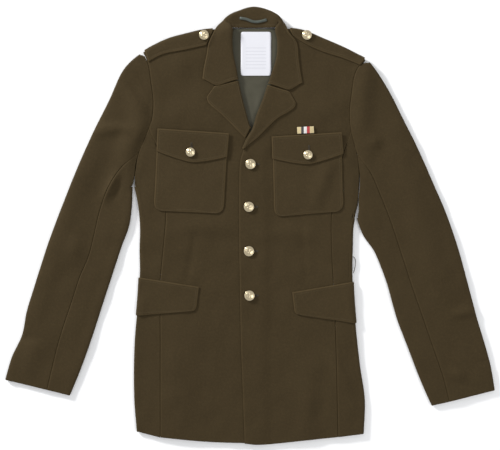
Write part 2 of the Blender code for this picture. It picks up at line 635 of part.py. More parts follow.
def collar_section(row, notch, trees):
    """One section of the collar: stand, roll and fall."""
    seam = lifted(*row[0:3])
    roll = lifted(*row[3:6])
    edge = lifted(*row[6:9])
    radius = row[9]
    inward = ((seam + edge) / 2 - roll).normalized()
    across = edge - seam
    across = (across - inward * across.dot(inward)).normalized()
    centre = roll + inward * (radius + CLOTH / 2)
    stand_end = centre - across * radius
    line = [seam, seam.lerp(stand_end, 0.5)]
    for step in range(TURN_STEPS + 1):
        angle = math.pi * step / TURN_STEPS
        line.append(centre - across * radius * math.cos(angle) - inward * radius * math.sin(angle))
    fall_start = line[-1]
    for share in (0.3, NOTCH_SHARE_COLLAR, 0.8, 1.0):
        point = fall_start.lerp(edge, share)
        point.y -= notch * tent(share, NOTCH_SHARE_COLLAR)
        point.z = max(point.z, top_of(trees, point.x, point.y, 5.0) + LAY_GAP + CLOTH / 2)
        line.append(point)
    return line


def build_collar(cloth, collection):
    steps = 2
    count = len(COLLAR_ROWS) - 1
    trees = surfaces("front_left", "front_right", "shoulder_strap_left", "shoulder_strap_right")
    table = []
    for number in range(count * steps + 1):
        place = number / steps
        index = min(int(place), count - 1)
        picks = [Vector(COLLAR_ROWS[min(max(index + offset, 0), count)]) for offset in (-1, 0, 1, 2)]
        row = catmull_rom(*picks, place - index)
        notch = NOTCH_DROP_COLLAR * max(1.0 - place, place - count + 1.0, 0.0)
        table.append(collar_section(row, notch, trees))
    sheet("collar", table, CLOTH, cloth, collection)


def corner_rows(straight_rows, corner, height):
    """Shares down a patch with round lower corners, each with the inset of its ends."""
    straight_end = 1.0 - corner / height
    table = [(straight_end * row / straight_rows, 0.0) for row in range(straight_rows + 1)]
    corner_steps = 4
    for step in range(1, corner_steps + 1):
        angle = math.pi / 2 * step / corner_steps
        table.append((straight_end + corner / height * math.sin(angle), corner * (1.0 - math.cos(angle))))
    return table


def build_breast_pockets(cloth, collection):
    columns = 8
    for name, corners, flap, drop in (
            ("left", POCKET_LEFT, BREAST_FLAP_LEFT, FLAP_POINT_DROP_LEFT),
            ("right", POCKET_RIGHT, BREAST_FLAP_RIGHT, FLAP_POINT_DROP_RIGHT)):
        trees = surfaces("front_" + name, "side_body_" + name)
        top_left, top_right, low_right, low_left = [Vector(corner) for corner in corners]
        height = (top_left - low_left).length
        table = []
        for down, inset in corner_rows(5, POCKET_CORNER, height):
            left = top_left.lerp(low_left, down)
            right = top_right.lerp(low_right, down)
            shift = (right - left).normalized() * inset
            line = []
            for column in range(columns + 1):
                point = (left + shift).lerp(right - shift, column / columns)
                base = top_of(trees, point.x, point.y)
                line.append(place_3d(point, base + LAY_GAP + POCKET_CLOTH / 2))
            table.append(line)
        sheet("breast_pocket_" + name, table, POCKET_CLOTH, cloth, collection)

        trees = surfaces("front_" + name, "side_body_" + name, "breast_pocket_" + name)
        top_left, top_right, low_right, low_left = [Vector(corner) for corner in flap]
        table = []
        rows = 4
        for row in range(rows + 1):
            down = row / rows
            line = []
            for column in range(columns + 1):
                across = column / columns
                point = top_left.lerp(low_left, down).lerp(top_right.lerp(low_right, down), across)
                point.y -= drop * down * (1.0 - abs(2.0 * across - 1.0) ** 1.4)
                base = top_of(trees, point.x, point.y, FLAP_REACH)
                line.append(place_3d(point, base + LAY_GAP + FLAP_CLOTH / 2))
            table.append(line)
        sheet("breast_flap_" + name, table, FLAP_CLOTH, cloth, collection)


def build_lower_flaps(cloth, collection):
    columns = 6
    last_angle = math.radians(110)
    radius = FOLD_REACH + LAY_GAP + FLAP_CLOTH / 2
    for name, sign, numbers, fold_points in (("left", -1, LOWER_FLAP_LEFT, SIDE_FOLD_LEFT),
                                             ("right", 1, LOWER_FLAP_RIGHT, SIDE_FOLD_RIGHT)):
        trees = surfaces("front_" + name, "side_body_" + name)
        fold = curve(fold_points)
        inner_top = Vector(numbers[0])
        inner_low = Vector(numbers[1])
        fold_top, fold_low = numbers[2:4]
        height = (inner_top - inner_low).length
        table = []
        for down, inset in corner_rows(3, FLAP_CORNER, height):
            end = inner_top.lerp(inner_low, down)
            end.x += sign * inset
            share = height_share(fold, fold_top + (fold_low - fold_top) * down)
            normal = outward_normal(fold, share, Vector((0.0, fold(share).y)))
            centre = fold(share) - normal * FOLD_REACH
            line = []
            for column in range(columns + 1):
                point = end.lerp(centre, column / columns)
                base = top_of(trees, point.x, point.y)
                line.append(place_3d(point, base + LAY_GAP + FLAP_CLOTH / 2))
            for step in range(1, TURN_STEPS + 1):
                angle = last_angle * step / TURN_STEPS
                point = centre + normal * radius * math.sin(angle)
                line.append(place_3d(point, FOLD_CENTRE + radius * math.cos(angle)))
            table.append(line)
        sheet("lower_flap_" + name, table, FLAP_CLOTH, cloth, collection)


def build_straps(cloth, collection):
    rows = 10
    columns = 3
    bottom = STRAP_CLOTH / 2
    top = OVER_MID + SHOULDER_LIFT + CLOTH / 2 + LAY_GAP + STRAP_CLOTH / 2
    radius = (top - bottom) / 2
    for name, shoulder_points, edge_points, share in (
            ("left", SHOULDER_LEFT, STRAP_EDGE_LEFT, STRAP_SHARE_LEFT),
            ("right", SHOULDER_RIGHT, STRAP_EDGE_RIGHT, STRAP_SHARE_RIGHT)):
        trees = surfaces("front_" + name, "sleeve_top_" + name)
        shoulder = curve(shoulder_points)
        edge = curve(edge_points)
        table = []
        for row in range(rows + 1):
            along = row / rows
            place = share[0] + (share[1] - share[0]) * along
            normal = outward_normal(shoulder, place, Vector((0.0, 0.0)))
            centre = shoulder(place)
            low_edge = edge(along)
            line = []
            for column in range(columns):
                point = low_edge.lerp(centre, column / columns)
                rest = top_of(trees, point.x, point.y) + LAY_GAP + STRAP_CLOTH / 2
                line.append(place_3d(point, rest))
            for step in range(TURN_STEPS + 1):
                angle = math.pi * step / TURN_STEPS
                point = centre + normal * radius * math.sin(angle)
                line.append(place_3d(point, (top + bottom) / 2 + radius * math.cos(angle)))
            line.append(place_3d(centre - normal * STRAP_RETURN, bottom))
            table.append(line)
        sheet("shoulder_strap_" + name, table, STRAP_CLOTH, cloth, collection)


def build_lining(lining, collection):
    columns = 10
    trees = surfaces("back_left", "back_right")
    table = []
    for left, right, y in LINING_ROWS:
        line = []
        for column in range(columns + 1):
            x = left + (right - left) * column / columns
            line.append(Vector((x, y, top_of(trees, x, y, 6.0) + LAY_GAP + LINING_CLOTH / 2)))
        table.append(line)
    sheet("lining", table, LINING_CLOTH, lining, collection)


def build_label(paper, collection):
    left, low, right, high = LABEL_BOX
    columns = 6
    trees = surfaces("lining")
    ends = [(1.0 - down, inset) for down, inset in corner_rows(4, LABEL_CORNER, high - low)]
    lower = [pair for pair in reversed(ends) if pair[0] < 0.5]
    table = []
    for up, inset in lower + [(1.0 - up, inset) for up, inset in reversed(lower)]:
        y = low + (high - low) * up
        line = []
        for column in range(columns + 1):
            x = left + inset + (right - left - 2 * inset) * column / columns
            line.append(Vector((x, y, top_of(trees, x, y, 5.0) + LAY_GAP + LABEL_CLOTH / 2)))
        table.append(line)
    sheet("size_label", table, LABEL_CLOTH, paper, collection)


def build_hanger_loop(satin, collection):
    route = curve(HANGER_LOOP)
    rows = 12
    trees = surfaces("collar")
    table = []
    for row in range(rows + 1):
        share = row / rows
        normal = outward_normal(route, share, Vector((9.0, 0.0)))
        centre = route(share)
        rest = top_of(trees, centre.x, centre.y) + LAY_GAP + LOOP_CLOTH / 2
        height = rest + HANGER_ARCH * math.sin(math.pi * share)
        table.append([place_3d(centre + normal * LOOP_WIDTH * side, height) for side in (-0.5, 0.5)])
    sheet("hanger_loop", table, LOOP_CLOTH, satin, collection)


def build_ribbon_bar(ribbon, collection):
    corners = [Vector(corner) for corner in RIBBON_BAR]
    middle = sum(corners, Vector((0.0, 0.0))) / len(corners)
    width = (corners[1] - corners[0]).length
    height = (corners[3] - corners[0]).length
    base = top_of(surfaces("front_right"), middle.x, middle.y, width / 2)
    mesh = bpy.data.meshes.new("medal_ribbon")
    block = bmesh.new()
    bmesh.ops.create_cube(block, size=1.0)
    bmesh.ops.scale(block, vec=Vector((width, height, RIBBON_THICKNESS)) * MM, verts=block.verts)
    block.to_mesh(mesh)
    block.free()
    mesh.materials.append(ribbon)
    piece = bpy.data.objects.new("medal_ribbon", mesh)
    piece.location = place_3d(middle, base + LAY_GAP + RIBBON_THICKNESS / 2) * MM
    piece.rotation_euler.z = math.atan2(corners[1].y - corners[0].y, corners[1].x - corners[0].x)
    collection.objects.link(piece)
    rounding = piece.modifiers.new("rounding", "BEVEL")
    rounding.width = RIBBON_CORNER / 3 * MM
    rounding.segments = 2


def build_belt_loop(thread, collection):
    line = bpy.data.curves.new("belt_loop", "CURVE")
    line.dimensions = "3D"
    line.bevel_depth = THREAD_RADIUS * MM
    line.bevel_resolution = 1
    line.use_fill_caps = True
    spline = line.splines.new("POLY")
    route = curve(BELT_LOOP)
    count = 12
    spline.points.add(count)
    for number in range(count + 1):
        point = route(number / count)
        spline.points[number].co = (point.x * MM, point.y * MM, FOLD_CENTRE * MM, 1.0)
    line.materials.append(thread)
    piece = bpy.data.objects.new("belt_loop", line)
    collection.objects.link(piece)


def button_mesh(diameter, metal):
    """A domed metal button with a turned rim, a raised ring and a shank below."""
    radius = diameter / 2
    shank = diameter * 0.16
    profile = [(0.0, 0.0), (shank, 0.0), (shank, 1.2), (radius * 0.82, 1.5), (radius, 2.4),
               (radius * 0.92, 3.2), (radius * 0.78, 3.0), (radius * 0.5, 4.3), (0.0, 5.0)]
    turned = bmesh.new()
    verts = [turned.verts.new(Vector((r, 0.0, z)) * MM) for r, z in profile]
    edges = [turned.edges.new(pair) for pair in zip(verts, verts[1:])]
    bmesh.ops.spin(turned, geom=verts + edges, cent=(0, 0, 0), axis=(0, 0, 1), angle=math.tau,
                   steps=16, use_merge=True, use_duplicate=False)
    bmesh.ops.remove_doubles(turned, verts=turned.verts, dist=1e-6)
    bmesh.ops.recalc_face_normals(turned, faces=turned.faces)
    mesh = bpy.data.meshes.new("button")
    turned.to_mesh(mesh)
    turned.free()
    mesh.materials.append(metal)
    return mesh


def build_buttons(metal, collection):
    sides = ("left", "right")
    for kind, diameter, places, below in (
            ("front_button", FRONT_BUTTON, FRONT_BUTTONS, ["front_right"]),
            ("pocket_button", POCKET_BUTTON, POCKET_BUTTONS, ["breast_flap_" + side for side in sides]),
            ("strap_button", STRAP_BUTTON, STRAP_BUTTONS, ["shoulder_strap_" + side for side in sides])):
        mesh = button_mesh(diameter, metal)
        trees = surfaces(*below)
        for number, (x, y) in enumerate(places, start=1):
            button = bpy.data.objects.new(f"{kind}_{number}", mesh)
            button.location = Vector((x, y, top_of(trees, x, y) + LAY_GAP)) * MM
            collection.objects.link(button)


def main():
    clear_scene()
    collection = bpy.data.collections.new("uniform_jacket")
    bpy.context.scene.collection.children.link(collection)
    cloth = make_material("uniform_cloth", (0.062, 0.044, 0.021), 0.9)
    lining = make_material("lining_satin", (0.075, 0.072, 0.052), 0.55)
    satin = make_material("loop_satin", (0.045, 0.055, 0.045), 0.4)
    paper = make_material("label_cloth", (0.80, 0.80, 0.84), 0.7)
    ribbon = make_material("ribbon_silk", (0.72, 0.60, 0.30), 0.6)
    metal = make_material("button_brass", (0.62, 0.52, 0.34), 0.3, 1.0)
    thread = make_material("loop_thread", (0.05, 0.045, 0.02), 0.8)
    build_backs(cloth, collection)
    build_side_bodies(cloth, collection)
    build_fronts(cloth, collection)
    build_sleeves(cloth, collection)
    build_lining(lining, collection)
    build_label(paper, collection)
    build_lapels(cloth, collection)
    build_straps(cloth, collection)
    build_collar(cloth, collection)
    build_hanger_loop(satin, collection)
    build_breast_pockets(cloth, collection)
    build_lower_flaps(cloth, collection)
    build_ribbon_bar(ribbon, collection)
    build_belt_loop(thread, collection)
    build_buttons(metal, collection)


main()
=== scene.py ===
"""Parade uniform jacket laid flat: cloth, lining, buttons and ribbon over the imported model."""

import bisect
import math

import bmesh
import bpy
import numpy as np
from mathutils import Matrix, Vector
from mathutils.bvhtree import BVHTree


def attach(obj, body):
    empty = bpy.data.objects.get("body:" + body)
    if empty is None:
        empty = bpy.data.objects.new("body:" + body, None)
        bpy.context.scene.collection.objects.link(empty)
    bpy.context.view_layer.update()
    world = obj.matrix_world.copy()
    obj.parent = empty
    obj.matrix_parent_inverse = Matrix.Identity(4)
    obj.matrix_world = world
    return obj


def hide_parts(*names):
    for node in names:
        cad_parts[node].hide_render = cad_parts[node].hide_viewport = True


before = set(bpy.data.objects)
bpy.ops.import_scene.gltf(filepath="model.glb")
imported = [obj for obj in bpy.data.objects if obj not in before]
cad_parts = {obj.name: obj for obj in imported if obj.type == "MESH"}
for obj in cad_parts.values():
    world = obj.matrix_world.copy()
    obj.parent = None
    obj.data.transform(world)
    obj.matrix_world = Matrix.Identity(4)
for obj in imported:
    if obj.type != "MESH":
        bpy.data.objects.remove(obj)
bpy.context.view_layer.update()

MM = 0.001

# Cloth and how the layers lie, in millimetres
CLOTH = 2.0
SEAM_GAP = 0.5
UNDER_GAP = 1.6
LAY_GAP = 0.4
UNDER_MID = 1.05
OVER_MID = 5.8
FOLD_RADIUS = (OVER_MID - UNDER_MID) / 2
FOLD_CENTRE = (OVER_MID + UNDER_MID) / 2
FOLD_REACH = FOLD_RADIUS + CLOTH / 2
OVERLAP_RISE = 2.3
OVERLAP_EDGE = 41.0
OVERLAP_EASE = 18.0
OVERLAP_TOP = 215.0
OVERLAP_TOP_EASE = 28.0
SHOULDER_LIFT = 3.0
LIFT_PLATEAU = 16.0
LIFT_REACH = 110.0

# Smaller pieces
POCKET_CLOTH = 1.5
POCKET_CORNER = 14.0
FLAP_CLOTH = 1.8
FLAP_CORNER = 8.0
FLAP_REACH = 7.0
LAPEL_CLOTH = 1.8
LAPEL_ROLL = 2.6
LAPEL_HEIGHT = 2.3
LAPEL_LIP = 1.2
STRAP_CLOTH = 1.8
STRAP_RETURN = 10.0
SHOULDER_RETURN = 8.0
LINING_CLOTH = 0.7
LABEL_CLOTH = 0.4
LOOP_WIDTH = 5.0
LOOP_CLOTH = 1.0
TURN_STEPS = 6

FRONT_BUTTON = 19.0
STRAP_BUTTON = 18.0
POCKET_BUTTON = 17.0

CURVE_STEPS = 8
HALVINGS = 30
NORMAL_STEP = 0.02
RAY_HEIGHT = 60.0

# Armhole seams on the upper layer, from the shoulder fold to the armpit
ARMHOLE_LEFT = [(-198, 321), (-189, 301), (-183, 264), (-179, 227), (-182, 196), (-187, 181),
                (-196, 160), (-206, 136), (-211, 116), (-215.8, 72)]
ARMHOLE_RIGHT = [(216, 307), (201, 294), (194, 281), (188, 246), (184, 205), (187, 175),
                 (193, 152), (198, 134), (203, 94), (201, 51), (196, 14)]

# Heights on the armhole: sleeve rows from the shoulder to the forearm seam, then to the armpit
CAP_HEIGHTS_LEFT = [313, 305, 290, 270, 247, 227, 196, 181, 160, 136]
CAP_HEIGHTS_RIGHT = [299, 295, 288, 275, 258, 240, 215, 195, 175, 152, 134]
LOW_HEIGHTS_LEFT = [136, 115, 93, 72]
LOW_HEIGHTS_RIGHT = [134, 94, 51, 14]
SIDE_SEAM_TOP = 2
SLEEVE_ROWS = 11
CAP_SHARE = 0.26

# Armhole seams on the under layer, from the shoulder fold to the armpit
BACK_ARMHOLE_LEFT = [(-191, 309), (-191, 260), (-198, 210), (-207, 159), (-214, 112), (-215.8, 72)]
BACK_ARMHOLE_RIGHT = [(204, 296), (194, 251), (196, 199), (202, 140), (204, 75), (196, 14)]

# Heights on the back armhole: hindarm seam, side body seam and the rows between them
BACK_CAP_LEFT = (302, 210)
BACK_CAP_RIGHT = (287, 199)
BACK_LOW_LEFT = [210, 185, 160, 130, 100, 72]
BACK_LOW_RIGHT = [199, 170, 140, 95, 50, 14]
BACK_BODY_LEFT = [159, 138, 116, 94, 72]
BACK_BODY_RIGHT = [140, 108, 76, 45, 14]

# Body seams and side folds, from the armhole to the hem
SIDE_SEAM_LEFT = [(-187, 181), (-170, 140), (-158, 75), (-156, 18), (-161, -45), (-166, -100),
                  (-166, -211), (-166, -392)]
SIDE_SEAM_RIGHT = [(187, 175), (172, 131), (156, 70), (151, 18), (151, -36), (154, -100),
                   (159, -211), (163, -391.5)]
SIDE_FOLD_LEFT = [(-214.6, 72), (-210.5, 55), (-206, 25), (-204, -6), (-205, -36), (-204, -74),
                  (-206, -119), (-211, -184), (-216, -248), (-216, -295), (-213, -345), (-210, -382)]
SIDE_FOLD_RIGHT = [(195, 14), (192, -4), (191, -37), (190, -74), (191, -119), (196, -184),
                   (204, -258), (213, -322), (213, -359), (211, -386)]
BACK_SEAM_LEFT = [(-207, 159), (-185, 85), (-170, -8), (-166, -100), (-170, -211), (-172, -391)]
BACK_SEAM_RIGHT = [(202, 140), (178, 75), (159, -17), (155, -110), (161, -221), (167, -391)]

# Side body rows from the armhole to the hem: heights at the side seam, fold and back seam
SIDE_ROWS_LEFT = [(181, 72, 159), (145, 50, 130), (110, 25, 100), (75, -6, 70), (18, -45, 10),
                  (-45, -85, -45), (-100, -130, -100), (-211, -220, -211), (-320, -320, -320),
                  (-392, -382, -391)]
SIDE_ROWS_RIGHT = [(175, 14, 140), (145, -4, 115), (122, -20, 90), (100, -37, 65), (70, -60, 35),
                   (18, -90, 0), (-40, -130, -50), (-100, -190, -110), (-211, -260, -221),
                   (-320, -322, -320), (-391.5, -386, -391)]

# Sleeve folds and seams, from the top to the cuff
OUTER_FOLD_LEFT = [(-204, 318), (-218, 307), (-235, 288), (-261, 233), (-289, 177), (-314, 122),
                   (-344, 48), (-372, -26), (-396, -100), (-418, -174), (-425, -211), (-439, -237),
                   (-448, -263), (-454, -285)]
OUTER_FOLD_RIGHT = [(221, 303), (233, 288), (257, 251), (285, 196), (313, 140), (337, 85),
                    (363, 25), (387, -45), (407, -119), (427, -193), (444, -248), (450, -282),
                    (454, -305)]
INNER_FOLD_LEFT = [(-217.4, 72), (-219, 45), (-219, 14), (-228, -11), (-240, -45), (-254, -88),
                   (-272, -143), (-294, -211), (-314, -267), (-334, -315)]
INNER_FOLD_RIGHT = [(197.6, 14), (205, -7), (214, -26), (227, -42), (240, -70), (254, -108),
                    (271, -169), (293, -227), (316, -287), (337, -334)]
FOREARM_SEAM_LEFT = [(-206, 136), (-237, 109), (-257, 81), (-270, 51), (-282, 16), (-295, -45),
                     (-314, -91), (-331, -143), (-354, -213), (-376, -304)]
FOREARM_SEAM_RIGHT = [(198, 134), (216, 112), (233, 75), (252, 31), (278, -45), (299, -110),
                      (321, -173), (339, -226), (355, -271), (369, -326)]
HINDARM_SEAM_LEFT = [(-198, 210), (-244, 159), (-281, 103), (-307, 48), (-346, -63), (-381, -174),
                     (-413, -295)]
HINDARM_SEAM_RIGHT = [(196, 199), (244, 149), (285, 94), (314, 38), (355, -67), (392, -184),
                      (414, -315)]

# Fronts, one row for each height from the hem to the shoulder:
# height at the side seam or armhole, then x, y at the centre edge or roll line
FRONT_ROWS_LEFT = [
    (-392, 14, -403), (-320, 14, -330), (-211, 14, -215), (-100, 14, -105), (-45, 14, -45),
    (18, 14, 15), (75, 14, 65), (110, 14, 103), (145, 10, 140), (181, -3, 183), (196, -10, 208),
    (227, -17, 238), (247, -24, 266), (270, -35, 291), (290, -46, 321), (305, -52, 345),
    (318, -50, 362)]
FRONT_ROWS_RIGHT = [
    (-391.5, -10, -403), (-320, -13, -320), (-211, -17, -211), (-100, -19, -100), (-40, -20, -45),
    (18, -20, 15), (70, -20, 66), (100, -19.5, 100), (122, -18, 120), (145, -12, 141),
    (175, -4, 161), (195, 8, 183), (215, 16, 206), (240, 28, 237), (258, 37, 258), (275, 52, 286),
    (288, 65, 316), (295, 67, 341), (304, 60, 362)]
FRONT_COLUMNS_LEFT = [0.0, 0.12, 0.25, 0.37, 0.5, 0.62, 0.75, 0.87, 1.0]
FRONT_COLUMNS_RIGHT = [0.0, 0.17, 0.34, 0.5, 0.66, 0.7, 0.735, 0.77, 0.88, 1.0]
HEM_LEFT = [(-166, -392), (-73, -400.5), (14, -403)]
HEM_RIGHT = [(163, -391.5), (103, -397.5), (13, -405.5), (-10, -403)]
SHOULDER_LEFT = [(-197, 318), (-180, 328), (-147, 343), (-121, 350), (-88, 358), (-50, 362)]
SHOULDER_RIGHT = [(215, 304), (195, 314), (167, 328), (132, 343), (95, 358), (60, 362)]

# Backs: rows at the side, then the height of each at the centre seam, from hem to neck
CENTRE_SEAM = 1.0
BACK_ROWS_LEFT = [(-391, -402), (-211, -211), (-100, -100), (-10, -10), (85, 85), (150, 150),
                  (205, 215), (240, 265), (272, 315), (308, 363)]
BACK_ROWS_RIGHT = [(-391, -402), (-211, -211), (-100, -100), (-50, -50), (0, 0), (75, 75),
                   (130, 140), (185, 205), (225, 260), (262, 312), (295, 363)]
BACK_COLUMNS = [0.0, 0.14, 0.28, 0.42, 0.56, 0.7, 0.78, 0.86, 1.0]
BACK_TOP_LEFT = [(-191, 309), (-148, 333), (-122, 340), (-89, 347), (-56, 351), (-46, 352),
                 (-38, 361), (-20, 363), (CENTRE_SEAM, 363)]
BACK_TOP_RIGHT = [(204, 296), (168, 317), (133, 333), (96, 346), (65, 351), (55, 352),
                  (47, 361), (24, 363), (CENTRE_SEAM, 363)]

# Lapels, from the gorge seam to the break: roll line and outer edge
ROLL_LEFT = [(-21, 269), (-14, 236), (-7, 210), (0, 186), (2.8, 181)]
LAPEL_EDGE_LEFT = [(-80, 238), (-78, 229), (-52, 205), (-30, 183), (-9, 162)]
ROLL_RIGHT = [(32, 261), (24, 236), (11, 203), (5, 182), (-7, 161), (-15, 143)]
LAPEL_EDGE_RIGHT = [(85, 228), (86, 224), (49, 197), (26, 175), (12, 161), (-4, 149)]
NOTCH_SHARE_LAPEL = 0.75
NOTCH_RISE_LAPEL = 12.6
NOTCH_SHARE_COLLAR = 0.6
NOTCH_DROP_COLLAR = 12.2

# Collar, one row for each section from the left point round the neck to the right point:
# neck seam x, y, z, roll x, y, z, outer edge x, y, z, radius of the roll; z before the lift
COLLAR_ROWS = [
    (-25, 270.9, 5.8, -21.1, 270.4, 7.8, -88.2, 272, 8.1, 2),
    (-34.2, 291.8, 5.8, -25.5, 293.7, 7.8, -85.8, 290, 8.1, 2),
    (-44.4, 319.6, 5.8, -31.1, 321.4, 7.8, -80.3, 315.9, 8.3, 2.2),
    (-50.4, 343.6, 5.8, -32.2, 349.2, 8.4, -76.6, 336.2, 8.4, 2.8),
    (-48, 359.4, 5.8, -31.8, 366.8, 10.5, -68.5, 354.7, 8.6, 3.4),
    (-42.5, 366.8, 5.8, -44, 381, 7, -58, 371.5, 3.5, 4),
    (-33.2, 366.8, 5.5, -36.9, 389.9, 7.1, -47, 371.8, 0.2, 4),
    (-19.4, 366.5, 4.5, -17.5, 399.9, 2.4, -24, 368.8, -1.8, 3.3),
    (3.7, 366.3, 4, 6.5, 406.2, 1.7, 3.7, 367.2, -1.9, 3),
    (25.9, 366.5, 4.5, 33.3, 400.4, 2.4, 33.3, 368.8, -1.8, 3.3),
    (42.5, 366.8, 5.5, 51.9, 389, 7.1, 58.4, 373.4, 0, 4),
    (52.5, 366.8, 5.8, 56, 381, 7, 65, 372.5, 3.5, 4),
    (58, 358.4, 5.8, 46.3, 365.8, 10.5, 72.2, 356.6, 8.6, 3.4),
    (64.7, 341.8, 5.8, 49.6, 345.5, 8.4, 86.2, 339.9, 8.4, 2.8),
    (62, 315.9, 6, 49, 314, 8.4, 89.9, 312.2, 8.3, 2.2),
    (49.2, 286.3, 5.8, 41.1, 286.3, 7.8, 93.1, 288.1, 8.1, 2),
    (37, 262.8, 5.8, 33, 262.2, 7.8, 97.3, 264.5, 8.1, 2)]

# Breast pockets and flaps: top left, top right, bottom right, bottom left
POCKET_LEFT = [(-171, 176), (-40, 170), (-49, 22), (-178, 28)]
POCKET_RIGHT = [(41, 163), (169, 170), (173, 27), (45, 16)]
BREAST_FLAP_LEFT = [(-171, 180), (-38, 171), (-42, 127), (-173, 138)]
BREAST_FLAP_RIGHT = [(40, 165), (170, 173), (173, 133), (41, 124)]
FLAP_POINT_DROP_LEFT = 15.5
FLAP_POINT_DROP_RIGHT = 15.0

# Lower flaps: inner end top and bottom, then the heights where they turn over the side fold
LOWER_FLAP_LEFT = [(-94, -113), (-100, -158), -96, -166]
LOWER_FLAP_RIGHT = [(78, -123), (83, -165), -104, -180]

# Shoulder straps: lower edge from the sleeve to the collar, and their share of the shoulder
STRAP_EDGE_LEFT = [(-188, 303), (-163, 316), (-124, 324), (-81, 333.5)]
STRAP_EDGE_RIGHT = [(203, 297), (173, 309), (133, 322), (102, 336), (79.5, 351)]
STRAP_SHARE_LEFT = (0.03, 0.88)
STRAP_SHARE_RIGHT = (0.03, 0.915)

# Lining in the neck, rows from the neck seam to the break: left x, right x, y
LINING_ROWS = [(-38, 48, 365.3), (-41, 57, 345), (-43, 61, 330), (-39, 56, 310), (-36, 52, 290),
               (-26, 40, 262), (-16, 28, 225), (-8, 14, 190), (-4, 8, 172)]
LABEL_BOX = (-17, 278, 39, 359)
LABEL_CORNER = 4.0
HANGER_LOOP = [(-19, 384), (-7, 382), (7, 377), (20, 378), (31, 381)]
HANGER_ARCH = 1.2
RIBBON_BAR = [(87, 182.5), (118, 184), (118.5, 171.5), (87.5, 170)]

FRONT_BUTTONS = [(1, 114), (-2, 35), (-2, -47), (-1, -129)]
POCKET_BUTTONS = [(-110, 136), (107, 131)]
STRAP_BUTTONS = [(-85, 352), (105, 352)]

# Shoulder and neck line that the lift follows
LIFT_LINE = [(-198, 321), (-148, 346), (-89, 361), (-51, 365), (3, 363), (60, 365), (133, 346), (216, 307)]


# Fine cloth: size of a cell, and the extra lines that follow each edge
CELL = 4.2
SMALL_CELL = 3.0
SMALL_PIECES = ("hanger_loop", "size_label")
EDGE_LINES = (1.2, 2.8, 4.6, 6.4)

# The wall as a share of the cloth: at the edge, on plain pieces, inside and on the row of stitches
EDGE_WALL = 0.3
EDGE_WALL_REACH = 1.6
PLAIN_WALL = 0.9
INNER_WALL = 0.88
STITCH_DENT = 0.3
STITCH_DENT_WIDTH = 0.9

# Armholes drawn together above the armpits: how far, how wide, and centre x, top y, low y, side
ARMPIT_DRAW = 3.8
ARMPIT_REACH = 26.0
ARMPIT_START = 0.5
ARMPIT_EASE = 3.0
ARMPITS = [(-212.0, 110.0, 72.0, -1.0), (198.0, 72.0, 14.5, 1.0)]
STITCH_FROM_EDGE = 5.0
LOWEST = -1.5
HIGHEST = 6.0
UNDER_HIGHEST = 1.0
LINING_HIGHEST = 1.2
LINING_EASE = 6.0
FOLD_EASE = 0.2
PROUD_GAP = 0.35
LAY_REACH = 1.5

# Creases of the upper layer: half width, height, then the points that each follows
CREASES = [
    (8.3, -1.9, [(-183, 242), (-182, 196), (-191, 172), (-204, 146), (-211, 116), (-216, 90), (-217, 66)]),
    (20.0, 5.6, [(-198, 233), (-202, 196), (-215, 162), (-228, 131), (-233, 94)]),
    (7.4, -1.9, [(-219, 260), (-191, 227)]),
    (6.7, -1.6, [(-210, 284), (-194, 264)]),
    (10.0, 4.2, [(-233, 255), (-204, 218)]),
    (10.0, 4.9, [(-284, 174), (-263, 179), (-240, 181), (-210, 172)]),
    (8.3, 5.2, [(-247, 94), (-268, 53)]),
    (10.0, -1.9, [(-233, 99), (-253, 51)]),
    (16.7, 5.2, [(-321, -17), (-330, -60)]),
    (8.3, -1.9, [(-426, -210), (-407, -206), (-385, -213)]),
    (23.3, 4.2, [(-388, -193), (-411, -258)]),
    (21.6, 4.5, [(-262, 205), (-300, 120), (-335, 30), (-366, -60), (-398, -160)]),
    (8.3, -1.9, [(192, 270), (188, 246), (184, 205), (188, 172), (199, 131), (203, 94), (200, 48),
                (197, 16)]),
    (20.0, 6.0, [(220, 301), (213, 279), (207, 233), (209, 186), (220, 140)]),
    (8.3, 4.5, [(376, -165), (394, -160), (413, -158)]),
    (10.0, 4.5, [(226, 155), (237, 155)]),
    (6.7, -1.8, [(426, -252), (438, -252)]),
    (8.3, 3.9, [(374, -271), (385, -276), (394, -285)]),
    (26.6, 4.9, [(262, 190), (305, 60), (333, -51), (361, -174)]),
    (10.0, -1.8, [(163, 109), (150, 74), (135, 38)]),
    (11.7, 3.5, [(150, 116), (137, 81), (122, 42)]),
    (15.0, -1.6, [(130, -276), (130, -332), (131, -383)]),
    (20.0, 3.5, [(109, -267), (107, -332), (109, -387)]),
    (11.7, 3.9, [(151, -245), (168, -276), (185, -308)]),
    (30.0, 3.9, [(-130, -211), (-137, -285), (-133, -378)]),
    (5.0, -1.6, [(-102, -17), (-109, -60), (-117, -100)]),
    (6.7, -1.5, [(96, 1), (98, -45), (103, -91)]),
    (15.0, 2.8, [(-144, -12), (-92, 0), (-33, -8)]),
    (15.0, 2.8, [(22, -19), (74, -10), (133, -23)]),
    (23.3, 2.4, [(-166, 288), (-111, 303)]),
    (26.6, 3.1, [(-157, 214), (-92, 210), (-46, 196)]),
    (26.6, 3.5, [(92, 223), (148, 214), (176, 199)])]

# Creases of the hidden under layer, which can only rise from the table
UNDER_CREASES = [
    (24.0, 0.9, [(-120, 250), (-60, 120), (-40, 0)]),
    (30.0, 0.9, [(110, 230), (70, 60), (90, -120)]),
    (16.0, 0.8, [(-130, -180), (-20, -230), (120, -200)]),
    (14.0, 0.8, [(-250, 120), (-310, -20), (-360, -180)]),
    (14.0, 0.8, [(240, 110), (300, -30), (360, -190)])]

